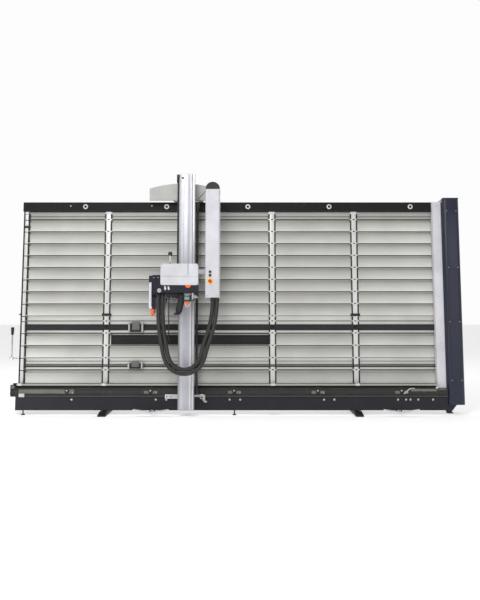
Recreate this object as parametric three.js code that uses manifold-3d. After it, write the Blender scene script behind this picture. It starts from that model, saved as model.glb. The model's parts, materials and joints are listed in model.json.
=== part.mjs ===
// Vertical panel saw: a slatted frame that leans back, a beam that rolls along it,
// and a saw head that runs up and down the beam. Millimetres, +Z up, +X along the frame.
// Inside the leaning group x runs along the frame, y is depth (the front is negative)
// and z is height up the slope. The plane that a board leans on is y = 0.
import * as THREE from "three";
import { mergeVertices } from "three/addons/utils/BufferGeometryUtils.js";
import Module from "manifold-3d";

const wasm = await Module();
wasm.setup();

// Driving dimensions: the frame
const LEAN_DEG = 6;
const FIELD_LENGTH = 5333;
const SLAT_PITCH = 158;
const FULL_SLATS = 8;
const SLAT_GAP = 3;
const SLAT_THICKNESS = 20;
const SLAT_WALL = 4;
const SLAT_STEP = 7;
const SLAT_STEP_HEIGHT = 38;
const LEDGE_TOP = 391;
const UPPER_SLATS_TOP = 2519;
const TOP_RAIL_BOTTOM = 2625;
const TOP_RAIL_HEIGHT = 120;
const TOP_RAIL_FRONT = 14;
const TOP_RAIL_DEPTH = 60;
const TOP_RAIL_WALL = 8;
const MID_RAIL_HEIGHT = 155;
const MID_RAIL_FILLER = 68;
const UPPER_BAND_HEIGHT = 71;
const LOWER_BAND_HEIGHT = 32;
const BAND_ABOVE_RAIL_FOOT = 38;
const UPRIGHT_FIRST_SHARE = 0.20795;
const UPRIGHT_PITCH_SHARE = 0.20064;
const UPRIGHTS = 4;
const STRIP_WIDTH = 104;
const STRIP_CORE_WIDTH = 56;
const STRIP_DEPTH = 12;
const STRIP_BASE = 6;
const PAD_WIDTH = 20;
const PAD_PROUD = 2;
const PAD_BREAK = 18;
const POST_WIDTH = 60;
const POST_DEPTH = 80;
const POST_FOOT = 70;
const SHEET = 3;
const CLEAR = 0.3;
const OVERRUN = 1;
const SMALL_SIDES = 12;
const ROUND_SIDES = 20;
const LARGE_SIDES = 32;
const CORNER_STEPS = 3;
const ARC_STEPS = 7;

// Driving dimensions: the ledge, the skirt and the feet
const LEDGE_BOTTOM = 222;
const LEDGE_DEPTH = 80;
const LEDGE_WALL = 8;
const LEDGE_FRONT_TOP = 330;
const LEDGE_FLOOR = 250;
const LEDGE_END = 68;
const ROLLER_FIRST_SHARE = 0.12113;
const ROLLER_PITCH_SHARE = 0.1982;
const ROLLERS = 5;
const ROLLER_RADIUS = 34;
const ROLLER_WIDTH = 44;
const ROLLER_RISE = 24;
const AXLE_RADIUS = 7;
const WINDOW_WIDTH = 150;
const WINDOW_HEIGHT = 46;
const SKIRT_BOTTOM = 52;
const SKIRT_DEPTH = 70;
const SKIRT_RETURN = 26;
const FOOT_WIDTH = 96;
const FOOT_TOE = 205;
const FOOT_HEEL = 760;
const FOOT_HEIGHT = 46;
const TOE_HEIGHT = 16;
const BRACE_TOP = 1050;
const BRACE_SIZE = 46;
const LEVELLER_SHARES = [0.01706, 0.51753];
const LEVELLER_RADIUS = 24;
const LEVELLER_PAD = 10;
const LEVELLER_STEM = 8;

// Driving dimensions: the right end and the small frame fittings
const END_STRIP_WIDTH = 127;
const END_STRIP_RADIUS = 10;
const COLUMN_WIDTH = 220;
const COLUMN_FRONT = 96;
const COLUMN_BACK = 150;
const COLUMN_TOP = 2780;
const COLUMN_FOOT = 120;
const COLUMN_RADIUS = 60;
const COLUMN_WALL = 5;
const CAP_FIRST_SHARE = 0.15151;
const CAP_PITCH_SHARE = 0.19933;
const CAPS = 5;
const CAP_RADIUS = 31;
const CAP_PROUD = 9;
const GRILLE_SHARES = [0.21958, 0.60848];
const GRILLE_PROUD = 11;
const GRILLE_LOUVRES = 5;
const GRILLE_SLOT_SHARES = [0.3, 0.75];
const STOP_SHARE = 0.28014;
const STOP_WIDTH = 210;
const STOP_PROUD = 46;
const STOP_BLOCK_PROUD = 31;
const STOP_BLOCK_WIDTH = 70;
const CHEEK_WIDTH = 30;
const LEVER_OUT = 97;
const LEVER_LENGTH = 330;
const LEVER_HEIGHT = 706;
const POINTER_AT = 1271;
const POINTER_HALF = 14;
const LEVER_ROD = 9;
const GRIP_RADIUS = 22;
const GRIP_END_RADIUS = 13;
const GRIP_LENGTH = 66;
const PEDAL_SHARES = [0.32421, 0.90493];
const PEDAL_SPAN = 440;
const PEDAL_BAR = 24;
const PEDAL_REACH = 165;
const PEDAL_RISE = 45;
const PEDAL_HINGE_HEIGHT = 58;

// Driving dimensions: the beam and what it carries
const BEAM_SHARE = 0.40446;
const BEAM_WIDTH = 200;
const BEAM_DEPTH = 130;
const BEAM_WALL = 9;
const BEAM_BOTTOM = 66;
const BEAM_TOP = 3065;
const BOARD_SPACE = 90;
const FLUTE_WIDTH = 12;
const FLUTE_DEPTH = 5;
const FLUTE_SHARES = [-0.3, 0.12, 0.26];
const PULLEY_RADIUS = 44;
const PULLEY_DISH = 31;
const PULLEY_WIDTH = 34;
const PULLEY_DROP = 52;
const WEIGHT_LENGTH = 420;
const WEIGHT_WIDTH = 120;
const CONDUIT_RADIUS = 15;
const CONDUIT_GAP = 12;
const CONDUIT_TOP = 2710;
const CONDUIT_BOTTOM = 250;
const GLAND_RADIUS = 28;
const GLAND_LENGTH = 70;
const SHROUD_HALF_WIDTH = 433;
const SHROUD_OFFSET = -70;
const SHROUD_SIDE = 160;
const SHROUD_RISE = 228;
const SHOE_LEFT = 270;
const SHOE_RIGHT = 170;
const TROLLEY_HALF_WIDTH = 200;
const TROLLEY_HEIGHT = 96;
const WHEEL_RADIUS = 38;
const DUCT_OFFSET = 334;
const DUCT_WIDTH = 180;
const DUCT_DEPTH = 150;
const DUCT_FRONT = 460;
const DUCT_BOTTOM = 1440;
const DUCT_TOP = 2800;
const DUCT_CORNER = 26;
const DUCT_WALL = 5;
const CAP_RISE = 92;
const ARM_HEIGHT = 60;
const ARM_AT = 1795;
const BUTTON_RADIUS = 15;
const STOP_BUTTON_RADIUS = 21;
const BUTTON_TRAVEL = 4;
const BUTTON_PROUD = 12;
const STOP_COLLAR_RADIUS = 36;
const STOP_COLLAR = 5;
const BUTTON_HEIGHTS = [1758, 1714, 1641];
const BUTTON_OFFSET_SHARE = -0.16;

// Driving dimensions: the saw head
const ARBOR_HEIGHT = 1600;
const SWIVEL_OFFSET = -256;
const BLADE_RADIUS = 125;
const BLADE_THICKNESS = 3.2;
const BLADE_TEETH = 36;
const TOOTH_DEPTH = 7;
const TOOTH_SHARES = [0.12, 0.45];
const ARBOR_RADIUS = 15;
const PLUNGE = 88;
const MOTOR_RADIUS = 60;
const MOTOR_LEFT = -56;
const MOTOR_RIGHT = 130;
const MOTOR_FINS = 7;
const FIN_SHARE = 0.55;
const HOOD_LEFT = -163;
const HOOD_COVER_LEFT = -203;
const HOOD_WALL = 6;
const HOOD_TOP = 138;
const HOOD_BOTTOM = 142;
const HOOD_RIM = 65;
const SHOE_BOTTOM = 292;
const SIDE_BOTTOM = 257;
const TIP_BOTTOM = 340;
const QUILL_RADIUS = 36;
const RING_RADIUS = 52;
const PLATE_BACK = 288;
const PLATE_THICKNESS = 30;
const CARRIAGE_RISE = 250;
const CARRIAGE_DROP = 48;
const COVER_BACK = 366;
const COVER_FRONT = 480;
const COVER_LEFT = -301;
const COVER_RIGHT = 160;
const COVER_DROP = 8;
const COVER_RISE = 257;
const COVER_WALL = 5;
const COVER_RADIUS = 22;
const HOUSING_LEFT = -361;
const HOUSING_DROP = 103;
const HANDLE_THICKNESS = 40;
const HANDLE_DROP = 368;
// The grip's outline: shares of the display's width across, and of the drop to its foot.
const HANDLE_SHARES = [
  [-0.74, 0],
  [0, 0],
  [0, 0.5],
  [0.1, 0.88],
  [-0.8, 1],
  [-1.6, 1],
  [-1.55, 0.92],
  [-1.2, 0.62],
];
const DISPLAY_WIDTH = 82;
const DISPLAY_HEIGHT = 96;
const DISPLAY_OFFSET = 25;
const SCREEN_SHARES = [0.3, 0.85];
const LEVER_OFFSET = -190;
const BALL_RADIUS = 27;
const BALL_RISE = 390;
const BALL_ROD = 8;
const BALL_STEM = 5.6;
const LOCK_BOSS = 24;
const LOCK_POINTER = 18;
const LOCK_HEIGHT = 50;

// Driving dimensions: the two suction hoses
const HOSE_RADIUS = 24;
const HOSE_SIDES = 10;
const HOSE_STEPS = 34;

const tau = 2 * Math.PI;
const half = (value) => value / 2;
const rad = THREE.MathUtils.degToRad;

// A closed geometry as a manifold-3d solid, for cuts and joins.
function solid(geometry) {
  const bare = geometry.clone();
  bare.deleteAttribute("normal");
  bare.deleteAttribute("uv");
  const merged = mergeVertices(bare);
  return new wasm.Manifold(
    new wasm.Mesh({
      numProp: 3,
      vertProperties: merged.attributes.position.array,
      triVerts: new Uint32Array(merged.index.array),
    }),
  );
}

// A solid back as a flat-shaded geometry.
function geometryOf(body) {
  const mesh = body.getMesh();
  const geometry = new THREE.BufferGeometry();
  geometry.setAttribute("position", new THREE.BufferAttribute(mesh.vertProperties, mesh.numProp));
  geometry.setIndex(new THREE.BufferAttribute(mesh.triVerts, 1));
  const flat = geometry.toNonIndexed();
  flat.computeVertexNormals();
  return flat;
}

const join = (bodies) => bodies.reduce((all, body) => all.add(body));
const cut = (body, tools) => tools.reduce((rest, tool) => rest.subtract(tool), body);

// A box from its low and high side along x, y and z.
function box(x, y, z) {
  const size = [x, y, z].map(([low, high]) => high - low);
  const middle = [x, y, z].map(([low, high]) => half(low + high));
  return solid(new THREE.BoxGeometry(...size).translate(...middle));
}

// A round bar of the given radius about one axis, from low to high along it.
function bar(axis, radius, [low, high], [a, b], sides = ROUND_SIDES) {
  const shape = new THREE.CylinderGeometry(radius, radius, high - low, sides);
  const mid = half(low + high);
  if (axis === "x") shape.rotateZ(-tau / 4).translate(mid, a, b);
  if (axis === "y") shape.translate(a, mid, b);
  if (axis === "z") shape.rotateX(tau / 4).translate(a, b, mid);
  return solid(shape);
}

// A section of [y, z] points drawn along x.
function alongX(points, [low, high]) {
  const shape = new THREE.Shape(points.map(([y, z]) => new THREE.Vector2(y, z)));
  const geometry = new THREE.ExtrudeGeometry(shape, { depth: high - low, bevelEnabled: false });
  const turn = new THREE.Matrix4().set(0, 0, 1, low, 1, 0, 0, 0, 0, 1, 0, 0, 0, 0, 0, 1);
  return solid(geometry.applyMatrix4(turn));
}

// An outline in x and z drawn along y.
function alongY(outline, [low, high], segments = ARC_STEPS) {
  const shape = outline instanceof THREE.Shape
    ? outline
    : new THREE.Shape(outline.map(([x, z]) => new THREE.Vector2(x, z)));
  const options = { depth: high - low, bevelEnabled: false, curveSegments: segments };
  const geometry = new THREE.ExtrudeGeometry(shape, options);
  const turn = new THREE.Matrix4().set(1, 0, 0, 0, 0, 0, -1, high, 0, 1, 0, 0, 0, 0, 0, 1);
  return solid(geometry.applyMatrix4(turn));
}

// An outline in x and y drawn along z.
function alongZ(outline, [low, high], segments = ARC_STEPS) {
  const options = { depth: high - low, bevelEnabled: false, curveSegments: segments };
  return solid(new THREE.ExtrudeGeometry(outline, options).translate(0, 0, low));
}

function roundedRect([left, right], [low, high], radius) {
  const shape = new THREE.Shape();
  shape.absarc(right - radius, low + radius, radius, -tau / 4, 0);
  shape.absarc(right - radius, high - radius, radius, 0, tau / 4);
  shape.absarc(left + radius, high - radius, radius, tau / 4, half(tau));
  shape.absarc(left + radius, low + radius, radius, half(tau), (3 * tau) / 4);
  return shape;
}

const paint = {
  slat: [0xb9b8b0, 0.5, 0.4],
  black: [0x1d1e21, 0.6, 0.1],
  navy: [0x22242f, 0.5, 0.1],
  blue: [0x2b2f45, 0.5, 0.1],
  white: [0xe4e4e8, 0.45, 0],
  silver: [0xc3c4c8, 0.35, 0.8],
  steel: [0x8c8e90, 0.4, 0.9],
  grey: [0x6a6c6e, 0.6, 0.3],
  plate: [0xa9a9a7, 0.6, 0.1],
  orange: [0xe2603a, 0.5, 0],
  red: [0xc8281e, 0.4, 0],
  hose: [0x33342f, 0.7, 0],
};

// Adds one named piece to a group.
function piece(group, name, body, finish) {
  const [color, roughness, metalness] = paint[finish];
  const material = new THREE.MeshStandardMaterial({ color, roughness, metalness });
  const mesh = new THREE.Mesh(geometryOf(body), material);
  mesh.name = name;
  group.add(mesh);
}

// A group that stands at a place in its parent, so that its own pieces are measured from there.
function at(parent, x, y, z) {
  const group = new THREE.Group();
  group.position.set(x, y, z);
  parent.add(group);
  return group;
}

const machine = new THREE.Group();
const leaning = at(machine, 0, 0, 0);
leaning.rotation.x = -rad(LEAN_DEG);
// The places of a row along the slats: the first one and the pitch are shares of their length.
const row = (count, first, pitch) =>
  Array.from({ length: count }, (_, i) => (first + i * pitch) * FIELD_LENGTH);
const uprightPlaces = row(UPRIGHTS, UPRIGHT_FIRST_SHARE, UPRIGHT_PITCH_SHARE);
const topRailTop = TOP_RAIL_BOTTOM + TOP_RAIL_HEIGHT;
const slatBack = STRIP_DEPTH + CLEAR + SLAT_THICKNESS;
const slatFront = STRIP_DEPTH + CLEAR;
const slatSpan = [SHEET + CLEAR, FIELD_LENGTH];

// The slat is a channel open to the back; its top edge is set back behind the lip of the slat above.
function slat(low, high) {
  const step = Math.min(SLAT_STEP_HEIGHT, half(high - low));
  const skinBack = slatFront + SLAT_STEP + SLAT_WALL;
  return alongX(
    [
      [slatFront, low + SLAT_GAP],
      [slatBack, low + SLAT_GAP],
      [slatBack, low + SLAT_GAP + SLAT_WALL],
      [skinBack, low + SLAT_GAP + SLAT_WALL],
      [skinBack, high - SLAT_WALL],
      [slatBack, high - SLAT_WALL],
      [slatBack, high],
      [slatFront + SLAT_STEP, high],
      [slatFront + SLAT_STEP, high - step],
      [slatFront, high - step - SLAT_STEP],
    ],
    slatSpan,
  );
}

const upperSlatsBottom = UPPER_SLATS_TOP - FULL_SLATS * SLAT_PITCH;
const upperRailBottom = upperSlatsBottom - MID_RAIL_FILLER - MID_RAIL_HEIGHT;
const lowerRailTop = upperRailBottom - 2 * SLAT_PITCH;
const lowerRailBottom = lowerRailTop - MID_RAIL_HEIGHT;

function buildSlats() {
  const rows = Array.from({ length: FULL_SLATS }, (_, i) => UPPER_SLATS_TOP - i * SLAT_PITCH);
  rows.push(upperRailBottom, upperRailBottom - SLAT_PITCH, lowerRailBottom);
  rows.forEach((top, i) => {
    const bottom = i === rows.length - 1 ? LEDGE_TOP : top - SLAT_PITCH;
    piece(leaning, `slat_${i + 1}`, slat(bottom, top), "slat");
  });
}

// A depth and a height up the slope as [y, z] in the upright frame of the whole machine.
function leaned(y, h) {
  const lean = rad(LEAN_DEG);
  return [y * Math.cos(lean) + h * Math.sin(lean), h * Math.cos(lean) - y * Math.sin(lean)];
}

const bandRows = [
  { low: upperRailBottom + BAND_ABOVE_RAIL_FOOT, height: UPPER_BAND_HEIGHT },
  { low: lowerRailBottom + BAND_ABOVE_RAIL_FOOT, height: LOWER_BAND_HEIGHT },
];
const endStripSpan = [0, STRIP_WIDTH - PAD_WIDTH];

// A mid rail: a slat section with a raised dark band, pocketed behind for each support strip.
function midRail(bottom, top, band) {
  const flange = box(slatSpan, [slatFront, slatBack], [bottom + SLAT_GAP, top]);
  const bandSpan = [endStripSpan[1] + CLEAR, FIELD_LENGTH];
  const raised = box(bandSpan, [0, slatBack], [band.low, band.low + band.height]);
  const pockets = uprightPlaces.map((x) =>
    box(
      [x - half(STRIP_WIDTH) - CLEAR, x + half(STRIP_WIDTH) + CLEAR],
      [STRIP_DEPTH - STRIP_BASE - CLEAR, slatFront],
      [band.low - OVERRUN, band.low + band.height + OVERRUN],
    ),
  );
  return cut(join([flange, raised]), pockets);
}

function buildMidRails() {
  const upperTop = upperRailBottom + MID_RAIL_HEIGHT + MID_RAIL_FILLER;
  piece(leaning, "mid_rail_upper", midRail(upperRailBottom, upperTop, bandRows[0]), "black");
  piece(leaning, "mid_rail_lower", midRail(lowerRailBottom, lowerRailTop, bandRows[1]), "black");
}

// The slat lines, where the pads of a support strip are broken.
const slatLines = Array.from({ length: FULL_SLATS + 1 }, (_, i) => UPPER_SLATS_TOP - i * SLAT_PITCH);
slatLines.push(upperRailBottom + MID_RAIL_HEIGHT, upperRailBottom, upperRailBottom - SLAT_PITCH);
slatLines.push(lowerRailTop, lowerRailBottom, LEDGE_TOP);
slatLines.sort((a, b) => b - a);
const stripTop = TOP_RAIL_BOTTOM - SHEET;

// A support strip: a base, a raised core and rows of pads, cleared where a mid rail crosses.
function strip(left, right, padEdges) {
  const baseSpan = [STRIP_DEPTH - STRIP_BASE, STRIP_DEPTH];
  const bodies = [box([left, right], baseSpan, [LEDGE_TOP, stripTop])];
  const middle = half(padEdges[0] + padEdges[padEdges.length - 1] + PAD_WIDTH);
  const core = [middle - half(STRIP_CORE_WIDTH), middle + half(STRIP_CORE_WIDTH)];
  bodies.push(box(core, [0, STRIP_DEPTH - half(STRIP_BASE)], [LEDGE_TOP, stripTop]));
  slatLines.slice(1).forEach((line, i) => {
    const pad = [line + half(PAD_BREAK), slatLines[i] - half(PAD_BREAK)];
    padEdges.forEach((x) => {
      bodies.push(box([x, x + PAD_WIDTH], [-PAD_PROUD, STRIP_DEPTH - half(STRIP_BASE)], pad));
    });
  });
  return join(bodies);
}

const bandCuts = (left, right) =>
  bandRows.map(({ low, height }) =>
    box(
      [left - OVERRUN, right + OVERRUN],
      [-PAD_PROUD - OVERRUN, STRIP_DEPTH - STRIP_BASE],
      [low - CLEAR, low + height + CLEAR],
    ),
  );

function buildStrips() {
  uprightPlaces.forEach((x, i) => {
    const [left, right] = [x - half(STRIP_WIDTH), x + half(STRIP_WIDTH)];
    const body = strip(left, right, [left, right - PAD_WIDTH]);
    piece(leaning, `support_strip_${i + 1}`, cut(body, bandCuts(left, right)), "silver");
  });
}

const postFront = slatBack + CLEAR;
const postSpan = [postFront, postFront + POST_DEPTH];
const postTop = TOP_RAIL_BOTTOM - CLEAR;

// The left end: a post, a side plate round the slat ends and the strip in front of them.
function buildLeftEnd() {
  const front = strip(0, endStripSpan[1], [0, endStripSpan[1] - PAD_WIDTH]);
  const side = box([0, SHEET], [STRIP_DEPTH - STRIP_BASE, postSpan[1]], [LEDGE_TOP, stripTop]);
  const post = box([0, POST_WIDTH], postSpan, [POST_FOOT, postTop]);
  const pointer = alongY(
    [
      [OVERRUN, POINTER_AT - POINTER_HALF],
      [-half(POST_WIDTH), POINTER_AT],
      [OVERRUN, POINTER_AT + POINTER_HALF],
    ],
    [STRIP_DEPTH - STRIP_BASE, STRIP_DEPTH],
  );
  piece(leaning, "left_end_post", join([front, side, post, pointer]), "silver");
}

// A foot: the leaning post, a level foot with a tapered toe, and a brace between them.
function foot(x) {
  const across = [x - half(POST_WIDTH), x + half(POST_WIDTH)];
  const corners = [
    [postSpan[0], half(FOOT_HEIGHT)],
    [postSpan[1], half(FOOT_HEIGHT)],
    [postSpan[1], postTop],
    [postSpan[0], postTop],
  ];
  const post = alongX(corners.map(([y, h]) => leaned(y, h)), across);
  const [kneeFront] = leaned(-LEDGE_DEPTH, FOOT_HEIGHT);
  const sole = alongX(
    [
      [-FOOT_TOE, 0],
      [FOOT_HEEL, 0],
      [FOOT_HEEL, FOOT_HEIGHT],
      [kneeFront, FOOT_HEIGHT],
      [-FOOT_TOE, TOE_HEIGHT],
    ],
    [x - half(FOOT_WIDTH), x + half(FOOT_WIDTH)],
  );
  const [braceY, braceZ] = leaned(half(postSpan[0] + postSpan[1]), BRACE_TOP);
  const heel = FOOT_HEEL - FOOT_WIDTH;
  const brace = alongX(
    [
      [heel, half(FOOT_HEIGHT)],
      [heel + BRACE_SIZE, half(FOOT_HEIGHT)],
      [braceY, braceZ + BRACE_SIZE],
      [braceY, braceZ - BRACE_SIZE],
    ],
    [x - half(BRACE_SIZE), x + half(BRACE_SIZE)],
  );
  return join([post, sole, brace]);
}

function buildPosts() {
  uprightPlaces.forEach((x, i) => {
    const last = UPRIGHTS - 1;
    if (i === 0) piece(machine, "foot_left", foot(x), "black");
    else if (i === last) piece(machine, "foot_right", foot(x), "black");
    else {
      const post = box([x - half(POST_WIDTH), x + half(POST_WIDTH)], postSpan, [POST_FOOT, postTop]);
      piece(leaning, `rear_post_${i}`, post, "black");
    }
  });
}

function buildTopRail() {
  const [front, back] = [-TOP_RAIL_FRONT, TOP_RAIL_DEPTH - TOP_RAIL_FRONT];
  const section = [
    [front, TOP_RAIL_BOTTOM],
    [back, TOP_RAIL_BOTTOM],
    [back, TOP_RAIL_BOTTOM + TOP_RAIL_WALL],
    [front + TOP_RAIL_WALL, TOP_RAIL_BOTTOM + TOP_RAIL_WALL],
    [front + TOP_RAIL_WALL, topRailTop - TOP_RAIL_WALL],
    [back, topRailTop - TOP_RAIL_WALL],
    [back, topRailTop],
    [front, topRailTop],
  ];
  const channel = alongX(section, [-TOP_RAIL_WALL, FIELD_LENGTH]);
  const flange = box(
    slatSpan,
    [slatFront, slatFront + TOP_RAIL_WALL],
    [UPPER_SLATS_TOP + SLAT_GAP, TOP_RAIL_BOTTOM + OVERRUN],
  );
  const caps = row(CAPS, CAP_FIRST_SHARE, CAP_PITCH_SHARE).map((x) =>
    bar(
      "y",
      CAP_RADIUS,
      [front - CAP_PROUD, front + half(TOP_RAIL_WALL)],
      [x, half(TOP_RAIL_BOTTOM + topRailTop)],
      ROUND_SIDES,
    ),
  );
  piece(leaning, "top_rail", join([channel, flange, ...caps]), "black");
}

const rollerPlaces = row(ROLLERS, ROLLER_FIRST_SHARE, ROLLER_PITCH_SHARE);
const rollerHeight = LEDGE_FLOOR + ROLLER_RISE + ROLLER_RADIUS;
const ledgeWallBack = half(SLAT_STEP);
const channelMiddle = half(ledgeWallBack - LEDGE_DEPTH + LEDGE_WALL);

// The ledge: a trough along the foot of the slats with an axle for each roller.
function buildLedge() {
  const section = [
    [-LEDGE_DEPTH, LEDGE_BOTTOM],
    [slatBack, LEDGE_BOTTOM],
    [slatBack, LEDGE_TOP],
    [ledgeWallBack, LEDGE_TOP],
    [ledgeWallBack, LEDGE_FLOOR],
    [LEDGE_WALL - LEDGE_DEPTH, LEDGE_FLOOR],
    [LEDGE_WALL - LEDGE_DEPTH, LEDGE_FRONT_TOP],
    [-LEDGE_DEPTH, LEDGE_FRONT_TOP],
  ];
  const trough = alongX(section, [-LEDGE_END, FIELD_LENGTH]);
  const axles = rollerPlaces.map((x) =>
    bar(
      "y",
      AXLE_RADIUS,
      [half(LEDGE_WALL) - LEDGE_DEPTH, ledgeWallBack + OVERRUN],
      [x, rollerHeight],
      SMALL_SIDES,
    ),
  );
  const windowTop = rollerHeight - AXLE_RADIUS - half(LEDGE_WALL);
  const windows = rollerPlaces.map((x) =>
    box(
      [x - half(WINDOW_WIDTH), x + half(WINDOW_WIDTH)],
      [-LEDGE_DEPTH - OVERRUN, LEDGE_WALL - LEDGE_DEPTH + OVERRUN],
      [windowTop - WINDOW_HEIGHT, windowTop],
    ),
  );
  piece(leaning, "ledge_beam", cut(trough, windows).add(join(axles)), "grey");
  rollerPlaces.forEach((x, i) => {
    const spin = at(leaning, x, channelMiddle, rollerHeight);
    spin.name = `joint_roller_${i + 1}`;
    const width = [-half(ROLLER_WIDTH), half(ROLLER_WIDTH)];
    const tyre = bar("y", ROLLER_RADIUS, width, [0, 0], ROUND_SIDES);
    const bore = bar("y", AXLE_RADIUS + CLEAR, width.map((w) => w * 2), [0, 0], SMALL_SIDES);
    piece(spin, `ledge_roller_${i + 1}`, cut(tyre, [bore]), "black");
  });
}

const pedalPlaces = PEDAL_SHARES.map((share) => share * FIELD_LENGTH);
const skirtFront = -SKIRT_DEPTH;
const pedalEar = PEDAL_BAR;

// The skirt: a folded panel under the ledge with two screw feet and the pedal brackets.
function buildSkirt() {
  const top = LEDGE_BOTTOM - CLEAR;
  const fold = [
    [skirtFront, SKIRT_BOTTOM],
    [skirtFront + SKIRT_RETURN, SKIRT_BOTTOM],
    [skirtFront + SKIRT_RETURN, SKIRT_BOTTOM + SHEET],
    [skirtFront + SHEET, SKIRT_BOTTOM + SHEET],
    [skirtFront + SHEET, top - SHEET],
    [skirtFront + SKIRT_RETURN, top - SHEET],
    [skirtFront + SKIRT_RETURN, top],
    [skirtFront, top],
  ];
  const bodies = [alongX(fold.map(([y, h]) => leaned(y, h)), [-LEDGE_WALL, FIELD_LENGTH])];
  const [screwY, screwZ] = leaned(skirtFront + half(SKIRT_RETURN), SKIRT_BOTTOM);
  LEVELLER_SHARES.map((share) => share * FIELD_LENGTH).forEach((x) => {
    bodies.push(bar("z", LEVELLER_RADIUS, [0, LEVELLER_PAD], [x, screwY], ROUND_SIDES));
    const screw = [half(LEVELLER_PAD), screwZ + half(SHEET)];
    bodies.push(bar("z", LEVELLER_STEM, screw, [x, screwY], SMALL_SIDES));
  });
  const [faceY] = leaned(skirtFront, PEDAL_HINGE_HEIGHT);
  pedalPlaces.forEach((x) => {
    [-1, 1].forEach((side) => {
      const ear = x + side * (pedalEar + CLEAR);
      bodies.push(
        box(
          [Math.min(ear, ear + side * half(PEDAL_BAR)), Math.max(ear, ear + side * half(PEDAL_BAR))],
          [faceY - 2 * PEDAL_BAR, faceY + SHEET],
          [PEDAL_HINGE_HEIGHT - half(PEDAL_BAR), PEDAL_HINGE_HEIGHT + half(PEDAL_BAR)],
        ),
      );
    });
  });
  piece(machine, "skirt_panel", join(bodies), "blue");
}

// A pedal: a shallow V bar on an arm that turns on a barrel between two ears.
function buildPedals() {
  const [faceY] = leaned(skirtFront, PEDAL_HINGE_HEIGHT);
  pedalPlaces.forEach((x, i) => {
    const hinge = at(machine, x, faceY - PEDAL_BAR, PEDAL_HINGE_HEIGHT);
    hinge.name = `joint_pedal_${i + 1}`;
    const span = half(PEDAL_SPAN);
    const under = -half(PEDAL_BAR);
    const chevron = [
      [-span, under + PEDAL_RISE],
      [0, under],
      [span, under + PEDAL_RISE],
      [span, PEDAL_RISE],
      [0, -under],
      [-span, PEDAL_RISE],
    ];
    const barBody = alongY(chevron, [-PEDAL_REACH, PEDAL_BAR - PEDAL_REACH]);
    const arm = box(
      [-half(PEDAL_BAR), half(PEDAL_BAR)],
      [half(PEDAL_BAR) - PEDAL_REACH, 0],
      [half(under), -half(under)],
    );
    const barrel = bar("x", half(PEDAL_BAR) - SHEET, [-pedalEar, pedalEar], [0, 0], SMALL_SIDES);
    piece(hinge, `foot_pedal_${i + 1}`, join([barBody, arm, barrel]), "white");
  });
}

function buildRightEnd() {
  const stripSpan = [FIELD_LENGTH + CLEAR, FIELD_LENGTH + END_STRIP_WIDTH];
  const cover = roundedRect(stripSpan, [-half(TOP_RAIL_DEPTH), postFront], END_STRIP_RADIUS);
  piece(leaning, "end_strip", alongZ(cover, [LEDGE_BOTTOM, topRailTop]), "white");
  const left = FIELD_LENGTH + END_STRIP_WIDTH + CLEAR;
  const plan = roundedRect([left, left + COLUMN_WIDTH], [-COLUMN_FRONT, COLUMN_BACK], COLUMN_RADIUS);
  const inside = roundedRect(
    [left + COLUMN_WALL, left + COLUMN_WIDTH - COLUMN_WALL],
    [COLUMN_WALL - COLUMN_FRONT, COLUMN_BACK - COLUMN_WALL],
    COLUMN_RADIUS - COLUMN_WALL,
  );
  const hollow = alongZ(inside, [COLUMN_FOOT + COLUMN_WALL, COLUMN_TOP - COLUMN_WALL]);
  const mouth = box(
    [left + COLUMN_RADIUS, left + COLUMN_WIDTH - COLUMN_RADIUS],
    [COLUMN_BACK - half(COLUMN_RADIUS) - COLUMN_WALL, COLUMN_BACK - 2 * COLUMN_WALL],
    [COLUMN_FOOT - OVERRUN, COLUMN_FOOT + 2 * COLUMN_WALL],
  );
  const tower = cut(alongZ(plan, [COLUMN_FOOT, COLUMN_TOP]), [hollow, mouth]);
  const turned = geometryOf(tower).applyMatrix4(new THREE.Matrix4().makeRotationX(-rad(LEAN_DEG)));
  const base = [
    [-COLUMN_RADIUS, COLUMN_FOOT + OVERRUN],
    [COLUMN_BACK - COLUMN_RADIUS, COLUMN_FOOT + OVERRUN],
  ].map(([y, h]) => leaned(y, h));
  const sole = [
    [base[1][0], 0],
    [base[0][0], 0],
  ];
  const inset = half(COLUMN_RADIUS);
  const foot = alongX([...base, ...sole], [left + inset, left + COLUMN_WIDTH - inset]);
  piece(machine, "end_column", solid(turned).add(foot), "navy");
}

// The grille sits in a window of the slat under the upper mid rail.
function buildGrille() {
  const low = upperRailBottom - SLAT_PITCH + SLAT_GAP + SHEET;
  const high = upperRailBottom - SHEET;
  const window = GRILLE_SHARES.map((share) => share * FIELD_LENGTH);
  const inside = [window[0] + CLEAR, window[1] - CLEAR];
  const frame = box(inside, [slatFront, slatBack], [low + CLEAR, high - CLEAR]);
  const pitch = (high - low) / GRILLE_LOUVRES;
  const slots = Array.from({ length: GRILLE_LOUVRES }, (_, i) =>
    box(
      [inside[0] + GRILLE_PROUD, inside[1] - GRILLE_PROUD],
      [slatFront - OVERRUN, slatFront + GRILLE_PROUD],
      [low + (i + GRILLE_SLOT_SHARES[0]) * pitch, low + (i + GRILLE_SLOT_SHARES[1]) * pitch],
    ),
  );
  piece(leaning, "grille", cut(frame, slots), "black");
  return box(window, [slatFront - OVERRUN, slatBack + OVERRUN], [low, high]);
}

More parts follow.
